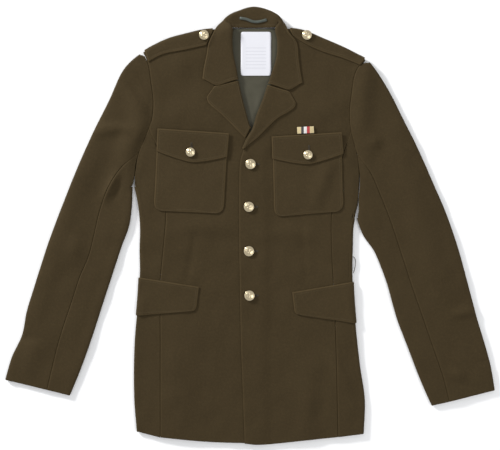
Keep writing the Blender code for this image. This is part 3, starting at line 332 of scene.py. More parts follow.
# Folds of the lining beside and below the label
LINING_FOLDS = [
    (5.0, 1.0, [(-26, 350), (-24, 310), (-21, 280)]),
    (5.0, 1.0, [(47, 350), (46, 310), (40, 275)]),
    (4.0, 0.9, [(-14, 277), (11, 262), (35, 271)]),
    (6.0, 0.8, [(-6, 240), (2, 210), (6, 185)]),
    (5.0, 0.7, [(20, 245), (14, 215)])]

# Broad unevenness of the cloth: height, length of the wave, direction, start
WAVES = [(0.35, 96.0, 0.4, 0.3), (0.28, 71.0, 1.3, 1.1), (0.22, 53.0, 2.2, 2.7), (0.16, 37.0, 2.9, 0.9)]

built = {}


def path_share(x, y, points):
    """Distance to a line of points, and the share along it of the nearest place."""
    nearest = np.full(x.shape, 1e9)
    share = np.zeros(x.shape)
    spans = [math.dist(a, b) for a, b in zip(points, points[1:])]
    total = sum(spans)
    done = 0.0
    for (ax, ay), (bx, by), span in zip(points, points[1:], spans):
        dx = bx - ax
        dy = by - ay
        part = np.clip(((x - ax) * dx + (y - ay) * dy) / (span * span), 0.0, 1.0)
        away = np.hypot(x - ax - dx * part, y - ay - dy * part)
        closer = away < nearest
        nearest = np.where(closer, away, nearest)
        share = np.where(closer, (done + part * span) / total, share)
        done += span
    return nearest, share


def crease_height(x, y, creases):
    height = np.zeros(x.shape)
    for width, rise, points in creases:
        away, share = path_share(x, y, points)
        fade = 0.35 + 0.65 * np.sin(math.pi * np.clip(share * 0.9 + 0.05, 0.0, 1.0))
        height += rise * fade * np.exp(-(away / width) ** 2)
    return height


def wave_height(x, y):
    height = np.zeros(x.shape)
    for rise, length, turn, start in WAVES:
        along = x * math.cos(turn) + y * math.sin(turn) + 9.0 * np.sin(y / 41.0 + turn)
        height += rise * np.sin(along * math.tau / length + start)
    return height


def finer(points, counts, edges):
    """The rows of points with smooth rows between them, and lines close to both ends."""
    last = len(points) - 2
    table = [points[0]]
    for index in range(last + 1):
        start = points[index]
        end = points[index + 1]
        before = points[index - 1] if index > 0 else start * 2 - end
        after = points[index + 2] if index < last else end * 2 - start
        span = np.linalg.norm(end - start, axis=-1, keepdims=True)
        mean = float(span.mean())
        shares = {round(step / counts[index], 4) for step in range(1, counts[index] + 1)}
        if edges and index == 0:
            shares = {share for share in shares if share * mean > edges[-1] * 1.2} | {
                line / mean for line in edges if line < mean * 0.9}
        if edges and index == last:
            shares = {share for share in shares if (1 - share) * mean > edges[-1] * 1.2} | {
                1 - line / mean for line in edges if line < mean * 0.9} | {1.0}
        span = np.maximum(span, 1e-6)
        before_span = np.maximum(np.linalg.norm(start - before, axis=-1, keepdims=True), 1e-6)
        after_span = np.maximum(np.linalg.norm(after - end, axis=-1, keepdims=True), 1e-6)
        start_slope = ((start - before) / before_span + (end - start) / span) * 0.5 * span
        end_slope = ((end - start) / span + (after - end) / after_span) * 0.5 * span
        for t in sorted(shares):
            table.append((2 * t ** 3 - 3 * t ** 2 + 1) * start + (t ** 3 - 2 * t ** 2 + t) * start_slope
                         + (3 * t ** 2 - 2 * t ** 3) * end + (t ** 3 - t ** 2) * end_slope)
    return np.array(table)


def finer_grid(rows, cell, edges):
    points = np.array([[tuple(point) for point in row] for row in rows])
    for _ in range(2):
        spans = np.linalg.norm(np.diff(points, axis=0), axis=-1).mean(axis=1)
        points = finer(points, [max(1, round(span / cell)) for span in spans], edges)
        points = np.swapaxes(points, 0, 1)
    return points


def lengths(points, axis):
    steps = np.linalg.norm(np.diff(points, axis=axis), axis=-1)
    total = np.cumsum(steps, axis=axis)
    return np.insert(total, 0, 0.0, axis=axis)


def surfaces(*names):
    """Search trees of finished pieces, from which the height of their upper faces is read."""
    bpy.context.view_layer.update()
    depsgraph = bpy.context.evaluated_depsgraph_get()
    return [BVHTree.FromObject(built[name], depsgraph) for name in names]


def top_of(trees, x, y, reach=3.0):
    """The highest face of the pieces at a place and close round it."""
    heights = []
    for step_x, step_y in ((0, 0), (1, 0), (-1, 0), (0, 1), (0, -1), (0.7, 0.7), (-0.7, 0.7),
                           (0.7, -0.7), (-0.7, -0.7)):
        start = Vector((x + step_x * reach, y + step_y * reach, RAY_HEIGHT)) * MM
        for tree in trees:
            place = tree.ray_cast(start, Vector((0.0, 0.0, -1.0)))[0]
            if place is not None:
                heights.append(place.z / MM)
    return max(heights, default=0.0)


def add_creases(name, x, y, z, from_side):
    """Raise or sink the heights by the creases, waves and folds that the piece has."""
    if name.startswith(("front", "side", "sleeve", "back")):
        ease_end = FOLD_CENTRE + FOLD_EASE
        upper = np.clip((z - ease_end) / (OVER_MID - ease_end), 0.0, 1.0)
        under = np.clip((FOLD_CENTRE - z) / (FOLD_CENTRE - UNDER_MID), 0.0, 1.0)
        if name.startswith("back"):
            upper = upper * 0.0
        rise = np.clip(crease_height(x, y, CREASES) + wave_height(x, y), LOWEST, HIGHEST)
        under_rise = np.clip(crease_height(x, y, UNDER_CREASES), 0.0, UNDER_HIGHEST)
        z += upper * upper * (3 - 2 * upper) * rise + under * (1 - upper) * under_rise
    if name == "lining":
        ease = np.clip(from_side / LINING_EASE, 0.0, 1.0)
        z += np.clip(crease_height(x, y, LINING_FOLDS) * ease, 0.0, LINING_HIGHEST)


def lay_on(trees, x, y, z, thickness, least):
    """Keep the cloth clear of the pieces below it and of the ground."""
    clear = PROUD_GAP + thickness / 2
    for place, height in np.ndenumerate(z):
        if trees and height > least:
            z[place] = max(height, top_of(trees, x[place], y[place], LAY_REACH) + clear)
    np.maximum(z, thickness / 2, out=z)


def draw_armholes(name, x, y):
    """Draw a sleeve or a side body towards the other above each armpit."""
    for centre, top, low, side in ARMPITS:
        if name.startswith(("side_body", "sleeve")):
            near = np.clip(1.0 - np.abs(x - centre) / ARMPIT_REACH, 0.0, 1.0)
            drawn = np.clip((top - y) / (top - low), 0.0, 1.0)
            drawn = drawn * np.clip((y - low - ARMPIT_START) / ARMPIT_EASE, 0.0, 1.0)
            x += (side if name.startswith("side_body") else -side) * ARMPIT_DRAW * near * drawn


def cloth_mesh(name, points, across, down, from_edge, along_edge):
    """A mesh of the points with its cloth map and edge distances, and the place of each vertex."""
    count_down = points.shape[0] - 1
    count_across = points.shape[1] - 1
    grid = bmesh.new()
    bmesh.ops.create_grid(grid, x_segments=count_across, y_segments=count_down, size=0.5)
    cloth_map = grid.loops.layers.uv.new("cloth")
    edge_layer = grid.verts.layers.float.new("from_edge")
    along_layer = grid.verts.layers.float.new("along_edge")
    places = {}
    for vertex in grid.verts:
        place = (round((vertex.co.y + 0.5) * count_down), round((vertex.co.x + 0.5) * count_across))
        places[vertex] = place
        vertex[edge_layer] = from_edge[place]
        vertex[along_layer] = along_edge[place]
    for face in grid.faces:
        face.smooth = True
        for loop in face.loops:
            place = places[loop.vert]
            loop[cloth_map].uv = (across[place] * MM, down[place] * MM)
    for vertex, place in places.items():
        vertex.co = Vector(points[place]) * MM
    mesh = bpy.data.meshes.new(name + "_cloth")
    order = [places[vertex] for vertex in grid.verts]
    grid.to_mesh(mesh)
    grid.free()
    return mesh, order


def add_wall(piece, thickness, edge_distances, stitched, small):
    """Thickness on both sides of the mesh: thin at the edges and dented by the stitches."""
    group = piece.vertex_groups.new(name="wall")
    for index, away in enumerate(edge_distances):
        full = EDGE_WALL + (1.0 - EDGE_WALL) * smooth(away / EDGE_WALL_REACH)
        if stitched:
            full *= 1.0 - STITCH_DENT * math.exp(-((away - STITCH_FROM_EDGE) / STITCH_DENT_WIDTH) ** 2)
            full *= 1.0 if away < STITCH_FROM_EDGE else INNER_WALL
        elif not small:
            full *= PLAIN_WALL
        group.add([index], full, "REPLACE")
    wall = piece.modifiers.new("wall", "SOLIDIFY")
    wall.thickness = thickness * MM
    wall.offset = 0.0
    wall.use_even_offset = False
    wall.vertex_group = "wall"


def sheet(name, rows, thickness, material, trees=(), stitched=False):
    """A thin cloth piece on the form of its solid, with creases, rounded edges and a cut size."""
    small = name in SMALL_PIECES
    points = finer_grid(rows, SMALL_CELL if small else CELL, () if small else EDGE_LINES)
    across = lengths(points, 1)
    down = lengths(points, 0)
    from_side = np.minimum(across, across[:, -1:] - across)
    from_end = np.minimum(down, down[-1:] - down)
    from_edge = np.minimum(from_side, from_end)
    along_edge = np.where(from_side < from_end, down, across)
    x = points[:, :, 0]
    y = points[:, :, 1]
    z = points[:, :, 2]
    add_creases(name, x, y, z, from_side)
    lay_on(trees, x, y, z, thickness, 0.0 if name == "lining" else FOLD_CENTRE)
    draw_armholes(name, x, y)
    mesh, order = cloth_mesh(name, points, across, down, from_edge, along_edge)
    mesh.materials.append(material)
    piece = bpy.data.objects.new(name + "_cloth", mesh)
    bpy.context.collection.objects.link(piece)
    add_wall(piece, thickness, [from_edge[place] for place in order], stitched, small)
    built[name] = piece
    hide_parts(name)
    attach(piece, "root")
    return piece


def smooth(share):
    share = min(max(share, 0.0), 1.0)
    return share * share * (3.0 - 2.0 * share)


def curve(points, rounded=True):
    """A curve through the points, read by its share of length from 0 to 1."""
    points = [Vector(point) for point in points]
    samples = [points[0]]
    steps = CURVE_STEPS if rounded else 1
    for index in range(len(points) - 1):
        start = points[index]
        end = points[index + 1]
        before = points[index - 1] if index > 0 else start - (end - start)
        after = points[index + 2] if index + 2 < len(points) else end + (end - start)
        for step in range(1, steps + 1):
            samples.append(catmull_rom(before, start, end, after, step / steps))
    reached = [0.0]
    for first, second in zip(samples, samples[1:]):
        reached.append(reached[-1] + (second - first).length)

    def at(share):
        wanted = min(max(share, 0.0), 1.0) * reached[-1]
        index = min(max(bisect.bisect_right(reached, wanted) - 1, 0), len(samples) - 2)
        span = reached[index + 1] - reached[index]
        return samples[index].lerp(samples[index + 1], (wanted - reached[index]) / span)

    return at


def catmull_rom(before, start, end, after, share):
    """A point between start and end, with tangents that suit uneven spacing."""
    span_before = max((start - before).length, 1e-6)
    span = max((end - start).length, 1e-6)
    span_after = max((after - end).length, 1e-6)
    start_slope = ((start - before) / span_before + (end - start) / span) * 0.5 * span
    end_slope = ((end - start) / span + (after - end) / span_after) * 0.5 * span
    squared = share * share
    cubed = squared * share
    return ((2 * cubed - 3 * squared + 1) * start + (cubed - 2 * squared + share) * start_slope
            + (3 * squared - 2 * cubed) * end + (cubed - squared) * end_slope)


def stations(route, count, first=0.0, last=1.0):
    return [route(first + (last - first) * number / count) for number in range(count + 1)]


def height_share(route, height):
    """The share of a falling route's length at which it passes a height."""
    low = 0.0
    high = 1.0
    for _ in range(HALVINGS):
        middle = (low + high) / 2
        if route(middle).y > height:
            low = middle
        else:
            high = middle
    return (low + high) / 2


def at_heights(points, heights):
    route = curve(points)
    return [route(height_share(route, height)) for height in heights]


def beside(points, distance):
    """The stations of a falling line, moved square to it; a positive distance moves them to +X."""
    moved = []
    for index, point in enumerate(points):
        before = points[max(index - 1, 0)]
        after = points[min(index + 1, len(points) - 1)]
        along = (after - before).normalized()
        moved.append(point + Vector((-along.y, along.x)) * distance)
    return moved


def anchored(points, start, end):
    """The stations moved near their ends only, so that they begin and end where they must."""
    count = len(points) - 1
    moved = []
    for number, point in enumerate(points):
        share = number / count
        pull = (start - points[0]) * (1.0 - share) ** 3 + (end - points[-1]) * share ** 3
        moved.append(point + pull)
    return moved


def straight(start, end, count):
    return [start.lerp(end, number / count) for number in range(count + 1)]


def patch(left, right, top, bottom):
    """Rows of points inside four edges: left and right run down, top and bottom across."""
    rows = len(left) - 1
    columns = len(top) - 1
    table = []
    for row in range(rows + 1):
        down = row / rows
        line = []
        for column in range(columns + 1):
            across = column / columns
            corners = ((1 - across) * (1 - down) * left[0] + across * (1 - down) * right[0]
                       + (1 - across) * down * left[-1] + across * down * right[-1])
            sides = (1 - across) * left[row] + across * right[row]
            ends = (1 - down) * top[column] + down * bottom[column]
            line.append(sides + ends - corners)
        table.append(line)
    return table


def distance_to_line(x, y, line):
    place = Vector((x, y))
    nearest = float("inf")
    for first, second in zip(line, line[1:]):
        start = Vector(first)
        along = Vector(second) - start
        share = min(max((place - start).dot(along) / along.length_squared, 0.0), 1.0)
        nearest = min(nearest, (place - start - along * share).length)
    return nearest


def lift(x, y):
    """How far the layers rise where the straps pass under the shoulders."""
    away = distance_to_line(x, y, LIFT_LINE)
    return SHOULDER_LIFT * smooth((LIFT_REACH - away) / (LIFT_REACH - LIFT_PLATEAU))


def overlap_rise(x, y):
    """How far the right front rises to lie on the left front."""
    across = smooth((OVERLAP_EDGE - x) / OVERLAP_EASE)
    up = smooth((OVERLAP_TOP - y) / OVERLAP_TOP_EASE)
    return OVERLAP_RISE * across * up


def over_height(x, y, on_top=False):
    rise = overlap_rise(x, y) if on_top else 0.0
    return OVER_MID + lift(x, y) + rise


def place_3d(point, height):
    return Vector((point.x, point.y, height))


def outward_normal(route, share, inside):
    """Unit vector square to the route, pointing away from the inside point."""
    along = route(min(share + NORMAL_STEP, 1.0)) - route(max(share - NORMAL_STEP, 0.0))
    normal = Vector((along.y, -along.x)).normalized()
    if normal.dot(route(share) - inside) < 0:
        normal.negate()
    return normal


def folded_rows(over_edge, fold, under_edge, over_mouth, under_mouth):
    """Rows of a panel that starts on the upper layer, turns at the fold and ends below."""
    sign = 1.0 if (fold[0] - over_edge[-1]).cross(over_edge[0] - over_edge[-1]) > 0 else -1.0
    outline = beside(fold, -sign * FOLD_REACH)
    normals = [(edge - centre).normalized() for edge, centre in zip(fold, outline)]
    over_top = anchored(over_mouth, over_edge[0], outline[0])
    under_top = anchored(under_mouth, outline[0], under_edge[0])
    over_low = straight(over_edge[-1], outline[-1], len(over_mouth) - 1)
    under_low = straight(outline[-1], under_edge[-1], len(under_mouth) - 1)
    over_patch = patch(over_edge, outline, over_top, over_low)
    under_patch = patch(outline, under_edge, under_top, under_low)
    table = []
    for over_line, centre, normal, under_line in zip(over_patch, outline, normals, under_patch):
        line = [place_3d(point, OVER_MID + lift(point.x, point.y)) for point in over_line]
        rise = lift(centre.x, centre.y)
        for step in range(1, TURN_STEPS):
            angle = math.pi * step / TURN_STEPS
            point = centre + normal * FOLD_RADIUS * math.sin(angle)
            line.append(place_3d(point, FOLD_CENTRE + FOLD_RADIUS * math.cos(angle) + rise))
        line += [place_3d(point, UNDER_MID + lift(point.x, point.y)) for point in under_line]
        table.append(line)
    return table


def ruled_rows(side, centre, low, top, shares, height):
    """Rows straight across between the two edges, bent to the hem and top lines at the ends."""
    rows = len(side) - 1
    table = []
    for row in range(rows + 1):
        up = row / rows
        low_pull = smooth(1.0 - up / 0.2)
        top_pull = smooth((up - 0.6) / 0.4)
        line = []
        for share in shares:
            point = side[row].lerp(centre[row], share)
            point = point + (low(share) - side[0].lerp(centre[0], share)) * low_pull
            point = point + (top(share) - side[-1].lerp(centre[-1], share)) * top_pull
            line.append(place_3d(point, height(point.x, point.y)))
        table.append(line)
    return table


def add_shoulder_turn(table, shoulder, shares):
    """The front carried over the shoulder fold to its seam on the back."""
    inside = Vector((0.0, 0.0))
    for step in range(1, TURN_STEPS + 1):
        angle = math.pi * step / TURN_STEPS
        line = []
        for share in shares:
            normal = outward_normal(shoulder, share, inside)
            point = shoulder(share) + normal * FOLD_RADIUS * math.sin(angle)
            line.append(place_3d(point, FOLD_CENTRE + SHOULDER_LIFT + FOLD_RADIUS * math.cos(angle)))
        table.append(line)
    line = []
    for share in shares:
        point = shoulder(share) - outward_normal(shoulder, share, inside) * SHOULDER_RETURN
        line.append(place_3d(point, UNDER_MID + SHOULDER_LIFT))
    table.append(line)


def build_fronts(cloth):
    for name, sign, rows, shares, armhole, seam, hem, shoulder in (
            ("left", -1, FRONT_ROWS_LEFT, FRONT_COLUMNS_LEFT, ARMHOLE_LEFT, SIDE_SEAM_LEFT,
             HEM_LEFT, SHOULDER_LEFT),
            ("right", 1, FRONT_ROWS_RIGHT, FRONT_COLUMNS_RIGHT, ARMHOLE_RIGHT, SIDE_SEAM_RIGHT,
             HEM_RIGHT, SHOULDER_RIGHT)):
        heights = [row[0] for row in reversed(rows)]
        cap = at_heights(armhole, [height for height in heights if height > seam[0][1]])
        side = cap + at_heights(seam, [height for height in heights if height <= seam[0][1]])
        side = list(reversed(beside(side, -sign * SEAM_GAP / 2)))
        centre = [Vector((x, y)) for height, x, y in rows]
        top = curve([side[-1]] + [Vector(point) for point in shoulder[1:]])
        low = curve([side[0]] + [Vector(point) for point in hem[1:]])
        table = ruled_rows(side, centre, low, top, shares,
                           lambda x, y, on_top=sign > 0: over_height(x, y, on_top))
        add_shoulder_turn(table, top, shares)
        sheet("front_" + name, table, CLOTH, cloth)


def build_backs(cloth):
    for name, sign, rows, armhole, seam, top in (
            ("left", -1, BACK_ROWS_LEFT, BACK_ARMHOLE_LEFT, BACK_SEAM_LEFT, BACK_TOP_LEFT),
            ("right", 1, BACK_ROWS_RIGHT, BACK_ARMHOLE_RIGHT, BACK_SEAM_RIGHT, BACK_TOP_RIGHT)):
        heights = [row[0] for row in reversed(rows)]
        cap = at_heights(armhole, [height for height in heights if height > seam[0][1]])
        side = cap + at_heights(seam, [height for height in heights if height <= seam[0][1]])
        side = list(reversed(beside(side, -sign * UNDER_GAP / 2)))
        middle = CENTRE_SEAM + sign * SEAM_GAP / 2
        centre = [Vector((middle, y)) for height, y in rows]
        top_points = [side[-1]] + [Vector(point) for point in top[1:-1]] + [Vector((middle, top[-1][1]))]
        table = ruled_rows(side, centre, curve([side[0], centre[0]]), curve(top_points), BACK_COLUMNS,
                           lambda x, y: CLOTH / 2 + lift(x, y))
        sheet("back_" + name, table, CLOTH, cloth)


def build_side_bodies(cloth):
    for name, sign, rows, seam, fold, back_seam, armhole, cap, low, back_armhole, back_heights in (
            ("left", -1, SIDE_ROWS_LEFT, SIDE_SEAM_LEFT, SIDE_FOLD_LEFT, BACK_SEAM_LEFT,
             ARMHOLE_LEFT, CAP_HEIGHTS_LEFT, LOW_HEIGHTS_LEFT, BACK_ARMHOLE_LEFT, BACK_BODY_LEFT),
            ("right", 1, SIDE_ROWS_RIGHT, SIDE_SEAM_RIGHT, SIDE_FOLD_RIGHT, BACK_SEAM_RIGHT,
             ARMHOLE_RIGHT, CAP_HEIGHTS_RIGHT, LOW_HEIGHTS_RIGHT, BACK_ARMHOLE_RIGHT,
             BACK_BODY_RIGHT)):
        over_edge = beside(at_heights(seam, [row[0] for row in rows]), sign * SEAM_GAP / 2)
        fold_points = at_heights(fold, [row[1] for row in rows])
        under_edge = beside(at_heights(back_seam, [row[2] for row in rows]), sign * UNDER_GAP / 2)
        mouth_heights = cap[-SIDE_SEAM_TOP - 1:] + low[1:]
        over_mouth = beside(at_heights(armhole, mouth_heights), -sign * SEAM_GAP / 2)
        over_edge[0] = over_mouth[0] + Vector((sign * SEAM_GAP / 2, 0.0))
        under_mouth = beside(at_heights(back_armhole, back_heights), -sign * UNDER_GAP / 2)
        under_edge[0] = under_mouth[0] + Vector((sign * UNDER_GAP / 2, -UNDER_GAP / 2))
        table = folded_rows(over_edge, fold_points, under_edge, over_mouth, under_mouth[::-1])
        sheet("side_body_" + name, table, CLOTH, cloth)


def build_sleeves(cloth):
    for (name, sign, armhole, cap, low, back_armhole, back_cap, back_low, outer, inner, forearm,
         hindarm) in (
            ("left", -1, ARMHOLE_LEFT, CAP_HEIGHTS_LEFT, LOW_HEIGHTS_LEFT, BACK_ARMHOLE_LEFT,
             BACK_CAP_LEFT, BACK_LOW_LEFT, OUTER_FOLD_LEFT, INNER_FOLD_LEFT, FOREARM_SEAM_LEFT,
             HINDARM_SEAM_LEFT),
            ("right", 1, ARMHOLE_RIGHT, CAP_HEIGHTS_RIGHT, LOW_HEIGHTS_RIGHT, BACK_ARMHOLE_RIGHT,
             BACK_CAP_RIGHT, BACK_LOW_RIGHT, OUTER_FOLD_RIGHT, INNER_FOLD_RIGHT,
             FOREARM_SEAM_RIGHT, HINDARM_SEAM_RIGHT)):
        cap_rows = len(cap) - 1
        forearm_stations = stations(curve(forearm), SLEEVE_ROWS)
        hindarm_stations = stations(curve(hindarm), SLEEVE_ROWS)
        over_edge = beside(at_heights(armhole, cap) + forearm_stations[1:], sign * SEAM_GAP / 2)
        outer_route = curve(outer)
        fold_points = (stations(outer_route, cap_rows, 0.0, CAP_SHARE)
                       + stations(outer_route, SLEEVE_ROWS, CAP_SHARE, 1.0)[1:])
        back_heights = [back_cap[0] + (back_cap[1] - back_cap[0]) * row / cap_rows
                        for row in range(cap_rows + 1)]
        under_edge = beside(at_heights(back_armhole, back_heights) + hindarm_stations[1:],
                            sign * UNDER_GAP / 2)
        table = folded_rows(over_edge, fold_points, under_edge,
                            straight(over_edge[0], fold_points[0], 5),
                            straight(fold_points[0], under_edge[0], 4))
        sheet("sleeve_top_" + name, table, CLOTH, cloth)

        over_edge = beside(forearm_stations, -sign * SEAM_GAP / 2)
        over_mouth = beside(at_heights(armhole, low), sign * SEAM_GAP / 2)
        over_edge[0] = over_mouth[0] + Vector((0.0, -SEAM_GAP))
        under_edge = beside(hindarm_stations, -sign * UNDER_GAP / 2)
        under_mouth = beside(at_heights(back_armhole, back_low), sign * UNDER_GAP / 2)
        under_edge[0] = under_mouth[0] + Vector((0.0, -UNDER_GAP))
        table = folded_rows(over_edge, stations(curve(inner), SLEEVE_ROWS), under_edge, over_mouth,
                            under_mouth[::-1])
        sheet("sleeve_under_" + name, table, CLOTH, cloth)


def tent(share, peak):
    return share / peak if share < peak else (1.0 - share) / (1.0 - peak)


def build_lapels(cloth):
    """Facings: each rolls over the front's edge and lies on it, with the gorge and notch above."""
    turn_count = 4
    leaf_shares = [0.25, 0.5, NOTCH_SHARE_LAPEL, 0.88, 1.0]
    rows = 12
    reach = LAPEL_ROLL + LAPEL_CLOTH / 2
    for name, roll_points, edge_points, fronts in (
            ("left", ROLL_LEFT, LAPEL_EDGE_LEFT, ["front_left"]),
            ("right", ROLL_RIGHT, LAPEL_EDGE_RIGHT, ["front_left", "front_right"])):
        trees = surfaces(*fronts)
        roll = curve(roll_points)
        edge = curve(edge_points)
        table = []
        for row in range(rows + 1):
            down = row / rows
            normal = outward_normal(roll, down, edge(down))
            centre = roll(down) - normal * reach
            base = top_of(trees, centre.x, centre.y)
            roll_top = base + LAPEL_HEIGHT
            centre_height = roll_top - LAPEL_ROLL
            lip = centre + normal * LAPEL_ROLL
            line = [place_3d(lip, centre_height - LAPEL_LIP)]
            for step in range(turn_count + 1):
                angle = math.pi / 2 * step / turn_count
                point = centre + normal * LAPEL_ROLL * math.cos(angle)
                line.append(place_3d(point, centre_height + LAPEL_ROLL * math.sin(angle)))
            for share in leaf_shares:
                point = centre.lerp(edge(down), share)
                point.y += NOTCH_RISE_LAPEL * tent(share, NOTCH_SHARE_LAPEL) * (1.0 - down) ** 8
                rest = top_of(trees, point.x, point.y) + LAY_GAP + LAPEL_CLOTH / 2
                spring = (LAPEL_HEIGHT - LAY_GAP - LAPEL_CLOTH / 2) * (1.0 - smooth(share * 1.3))
                line.append(place_3d(point, rest + spring))
            table.append(line)
        sheet("lapel_" + name, table, LAPEL_CLOTH, cloth, trees, stitched=True)


def lifted(x, y, z):
    return Vector((x, y, z + lift(x, y)))


def collar_section(row, notch, trees):
    """One section of the collar: stand, roll and fall."""
    seam = lifted(*row[0:3])
    roll = lifted(*row[3:6])
    edge = lifted(*row[6:9])
    radius = row[9]
    inward = ((seam + edge) / 2 - roll).normalized()
    across = edge - seam
    across = (across - inward * across.dot(inward)).normalized()
    centre = roll + inward * (radius + CLOTH / 2)
    stand_end = centre - across * radius
    line = [seam, seam.lerp(stand_end, 0.5)]
    for step in range(TURN_STEPS + 1):
        angle = math.pi * step / TURN_STEPS
        line.append(centre - across * radius * math.cos(angle) - inward * radius * math.sin(angle))
    fall_start = line[-1]
    for share in (0.3, NOTCH_SHARE_COLLAR, 0.8, 1.0):
        point = fall_start.lerp(edge, share)
        point.y -= notch * tent(share, NOTCH_SHARE_COLLAR)
        point.z = max(point.z, top_of(trees, point.x, point.y, 5.0) + LAY_GAP + CLOTH / 2)
        line.append(point)
    return line


def build_collar(cloth):
    steps = 2
    count = len(COLLAR_ROWS) - 1
    trees = surfaces("front_left", "front_right", "shoulder_strap_left", "shoulder_strap_right")
    table = []
    for number in range(count * steps + 1):
        place = number / steps
        index = min(int(place), count - 1)
        picks = [Vector(COLLAR_ROWS[min(max(index + offset, 0), count)]) for offset in (-1, 0, 1, 2)]
        row = catmull_rom(*picks, place - index)
        notch = NOTCH_DROP_COLLAR * max(1.0 - place, place - count + 1.0, 0.0)
        table.append(collar_section(row, notch, trees))
    sheet("collar", table, CLOTH, cloth, trees, stitched=True)


def corner_rows(straight_rows, corner, height):
    """Shares down a patch with round lower corners, each with the inset of its ends."""
    straight_end = 1.0 - corner / height
    table = [(straight_end * row / straight_rows, 0.0) for row in range(straight_rows + 1)]
    corner_steps = 4
    for step in range(1, corner_steps + 1):
        angle = math.pi / 2 * step / corner_steps
        table.append((straight_end + corner / height * math.sin(angle), corner * (1.0 - math.cos(angle))))
    return table


def build_breast_pockets(cloth):
    columns = 8
    for name, corners, flap, drop in (
            ("left", POCKET_LEFT, BREAST_FLAP_LEFT, FLAP_POINT_DROP_LEFT),
            ("right", POCKET_RIGHT, BREAST_FLAP_RIGHT, FLAP_POINT_DROP_RIGHT)):
        trees = surfaces("front_" + name, "side_body_" + name)
        top_left, top_right, low_right, low_left = [Vector(corner) for corner in corners]
        height = (top_left - low_left).length
        table = []
        for down, inset in corner_rows(5, POCKET_CORNER, height):
            left = top_left.lerp(low_left, down)
            right = top_right.lerp(low_right, down)
            shift = (right - left).normalized() * inset
            line = []
            for column in range(columns + 1):
                point = (left + shift).lerp(right - shift, column / columns)
                base = top_of(trees, point.x, point.y)
                line.append(place_3d(point, base + LAY_GAP + POCKET_CLOTH / 2))
            table.append(line)
        sheet("breast_pocket_" + name, table, POCKET_CLOTH, cloth, trees,
              stitched=True)

        trees = surfaces("front_" + name, "side_body_" + name, "breast_pocket_" + name)
        top_left, top_right, low_right, low_left = [Vector(corner) for corner in flap]
        table = []
        rows = 4
        for row in range(rows + 1):
            down = row / rows
            line = []
            for column in range(columns + 1):
                across = column / columns
                point = top_left.lerp(low_left, down).lerp(top_right.lerp(low_right, down), across)
                point.y -= drop * down * (1.0 - abs(2.0 * across - 1.0) ** 1.4)
                base = top_of(trees, point.x, point.y, FLAP_REACH)
                line.append(place_3d(point, base + LAY_GAP + FLAP_CLOTH / 2))
            table.append(line)
        sheet("breast_flap_" + name, table, FLAP_CLOTH, cloth, trees,
              stitched=True)


def build_lower_flaps(cloth):
    columns = 6
    last_angle = math.radians(110)
    radius = FOLD_REACH + LAY_GAP + FLAP_CLOTH / 2
    for name, sign, numbers, fold_points in (("left", -1, LOWER_FLAP_LEFT, SIDE_FOLD_LEFT),
                                             ("right", 1, LOWER_FLAP_RIGHT, SIDE_FOLD_RIGHT)):
        trees = surfaces("front_" + name, "side_body_" + name)
        fold = curve(fold_points)
        inner_top = Vector(numbers[0])
        inner_low = Vector(numbers[1])
        fold_top, fold_low = numbers[2:4]
        height = (inner_top - inner_low).length
        table = []
        for down, inset in corner_rows(3, FLAP_CORNER, height):
            end = inner_top.lerp(inner_low, down)
            end.x += sign * inset
            share = height_share(fold, fold_top + (fold_low - fold_top) * down)
            normal = outward_normal(fold, share, Vector((0.0, fold(share).y)))
            centre = fold(share) - normal * FOLD_REACH
            line = []
            for column in range(columns + 1):
                point = end.lerp(centre, column / columns)
                base = top_of(trees, point.x, point.y)
                line.append(place_3d(point, base + LAY_GAP + FLAP_CLOTH / 2))
            for step in range(1, TURN_STEPS + 1):
                angle = last_angle * step / TURN_STEPS
                point = centre + normal * radius * math.sin(angle)
                line.append(place_3d(point, FOLD_CENTRE + radius * math.cos(angle)))
            table.append(line)
        sheet("lower_flap_" + name, table, FLAP_CLOTH, cloth, trees,
              stitched=True)


def build_straps(cloth):
    rows = 10
    columns = 3
    bottom = STRAP_CLOTH / 2
    top = OVER_MID + SHOULDER_LIFT + CLOTH / 2 + LAY_GAP + STRAP_CLOTH / 2
    radius = (top - bottom) / 2
    for name, shoulder_points, edge_points, share in (
            ("left", SHOULDER_LEFT, STRAP_EDGE_LEFT, STRAP_SHARE_LEFT),
            ("right", SHOULDER_RIGHT, STRAP_EDGE_RIGHT, STRAP_SHARE_RIGHT)):
        trees = surfaces("front_" + name, "sleeve_top_" + name)
        shoulder = curve(shoulder_points)
        edge = curve(edge_points)
        table = []
        for row in range(rows + 1):
            along = row / rows
            place = share[0] + (share[1] - share[0]) * along
            normal = outward_normal(shoulder, place, Vector((0.0, 0.0)))
            centre = shoulder(place)
            low_edge = edge(along)
            line = []
            for column in range(columns):
                point = low_edge.lerp(centre, column / columns)
                rest = top_of(trees, point.x, point.y) + LAY_GAP + STRAP_CLOTH / 2
                line.append(place_3d(point, rest))
            for step in range(TURN_STEPS + 1):
                angle = math.pi * step / TURN_STEPS
                point = centre + normal * radius * math.sin(angle)
                line.append(place_3d(point, (top + bottom) / 2 + radius * math.cos(angle)))
            line.append(place_3d(centre - normal * STRAP_RETURN, bottom))
            table.append(line)
        sheet("shoulder_strap_" + name, table, STRAP_CLOTH, cloth, trees,
              stitched=True)


def build_lining(lining):
    columns = 10
    trees = surfaces("back_left", "back_right")
    table = []
    for left, right, y in LINING_ROWS:
        line = []
        for column in range(columns + 1):
            x = left + (right - left) * column / columns
            line.append(Vector((x, y, top_of(trees, x, y, 6.0) + LAY_GAP + LINING_CLOTH / 2)))
        table.append(line)
    sheet("lining", table, LINING_CLOTH, lining, trees)


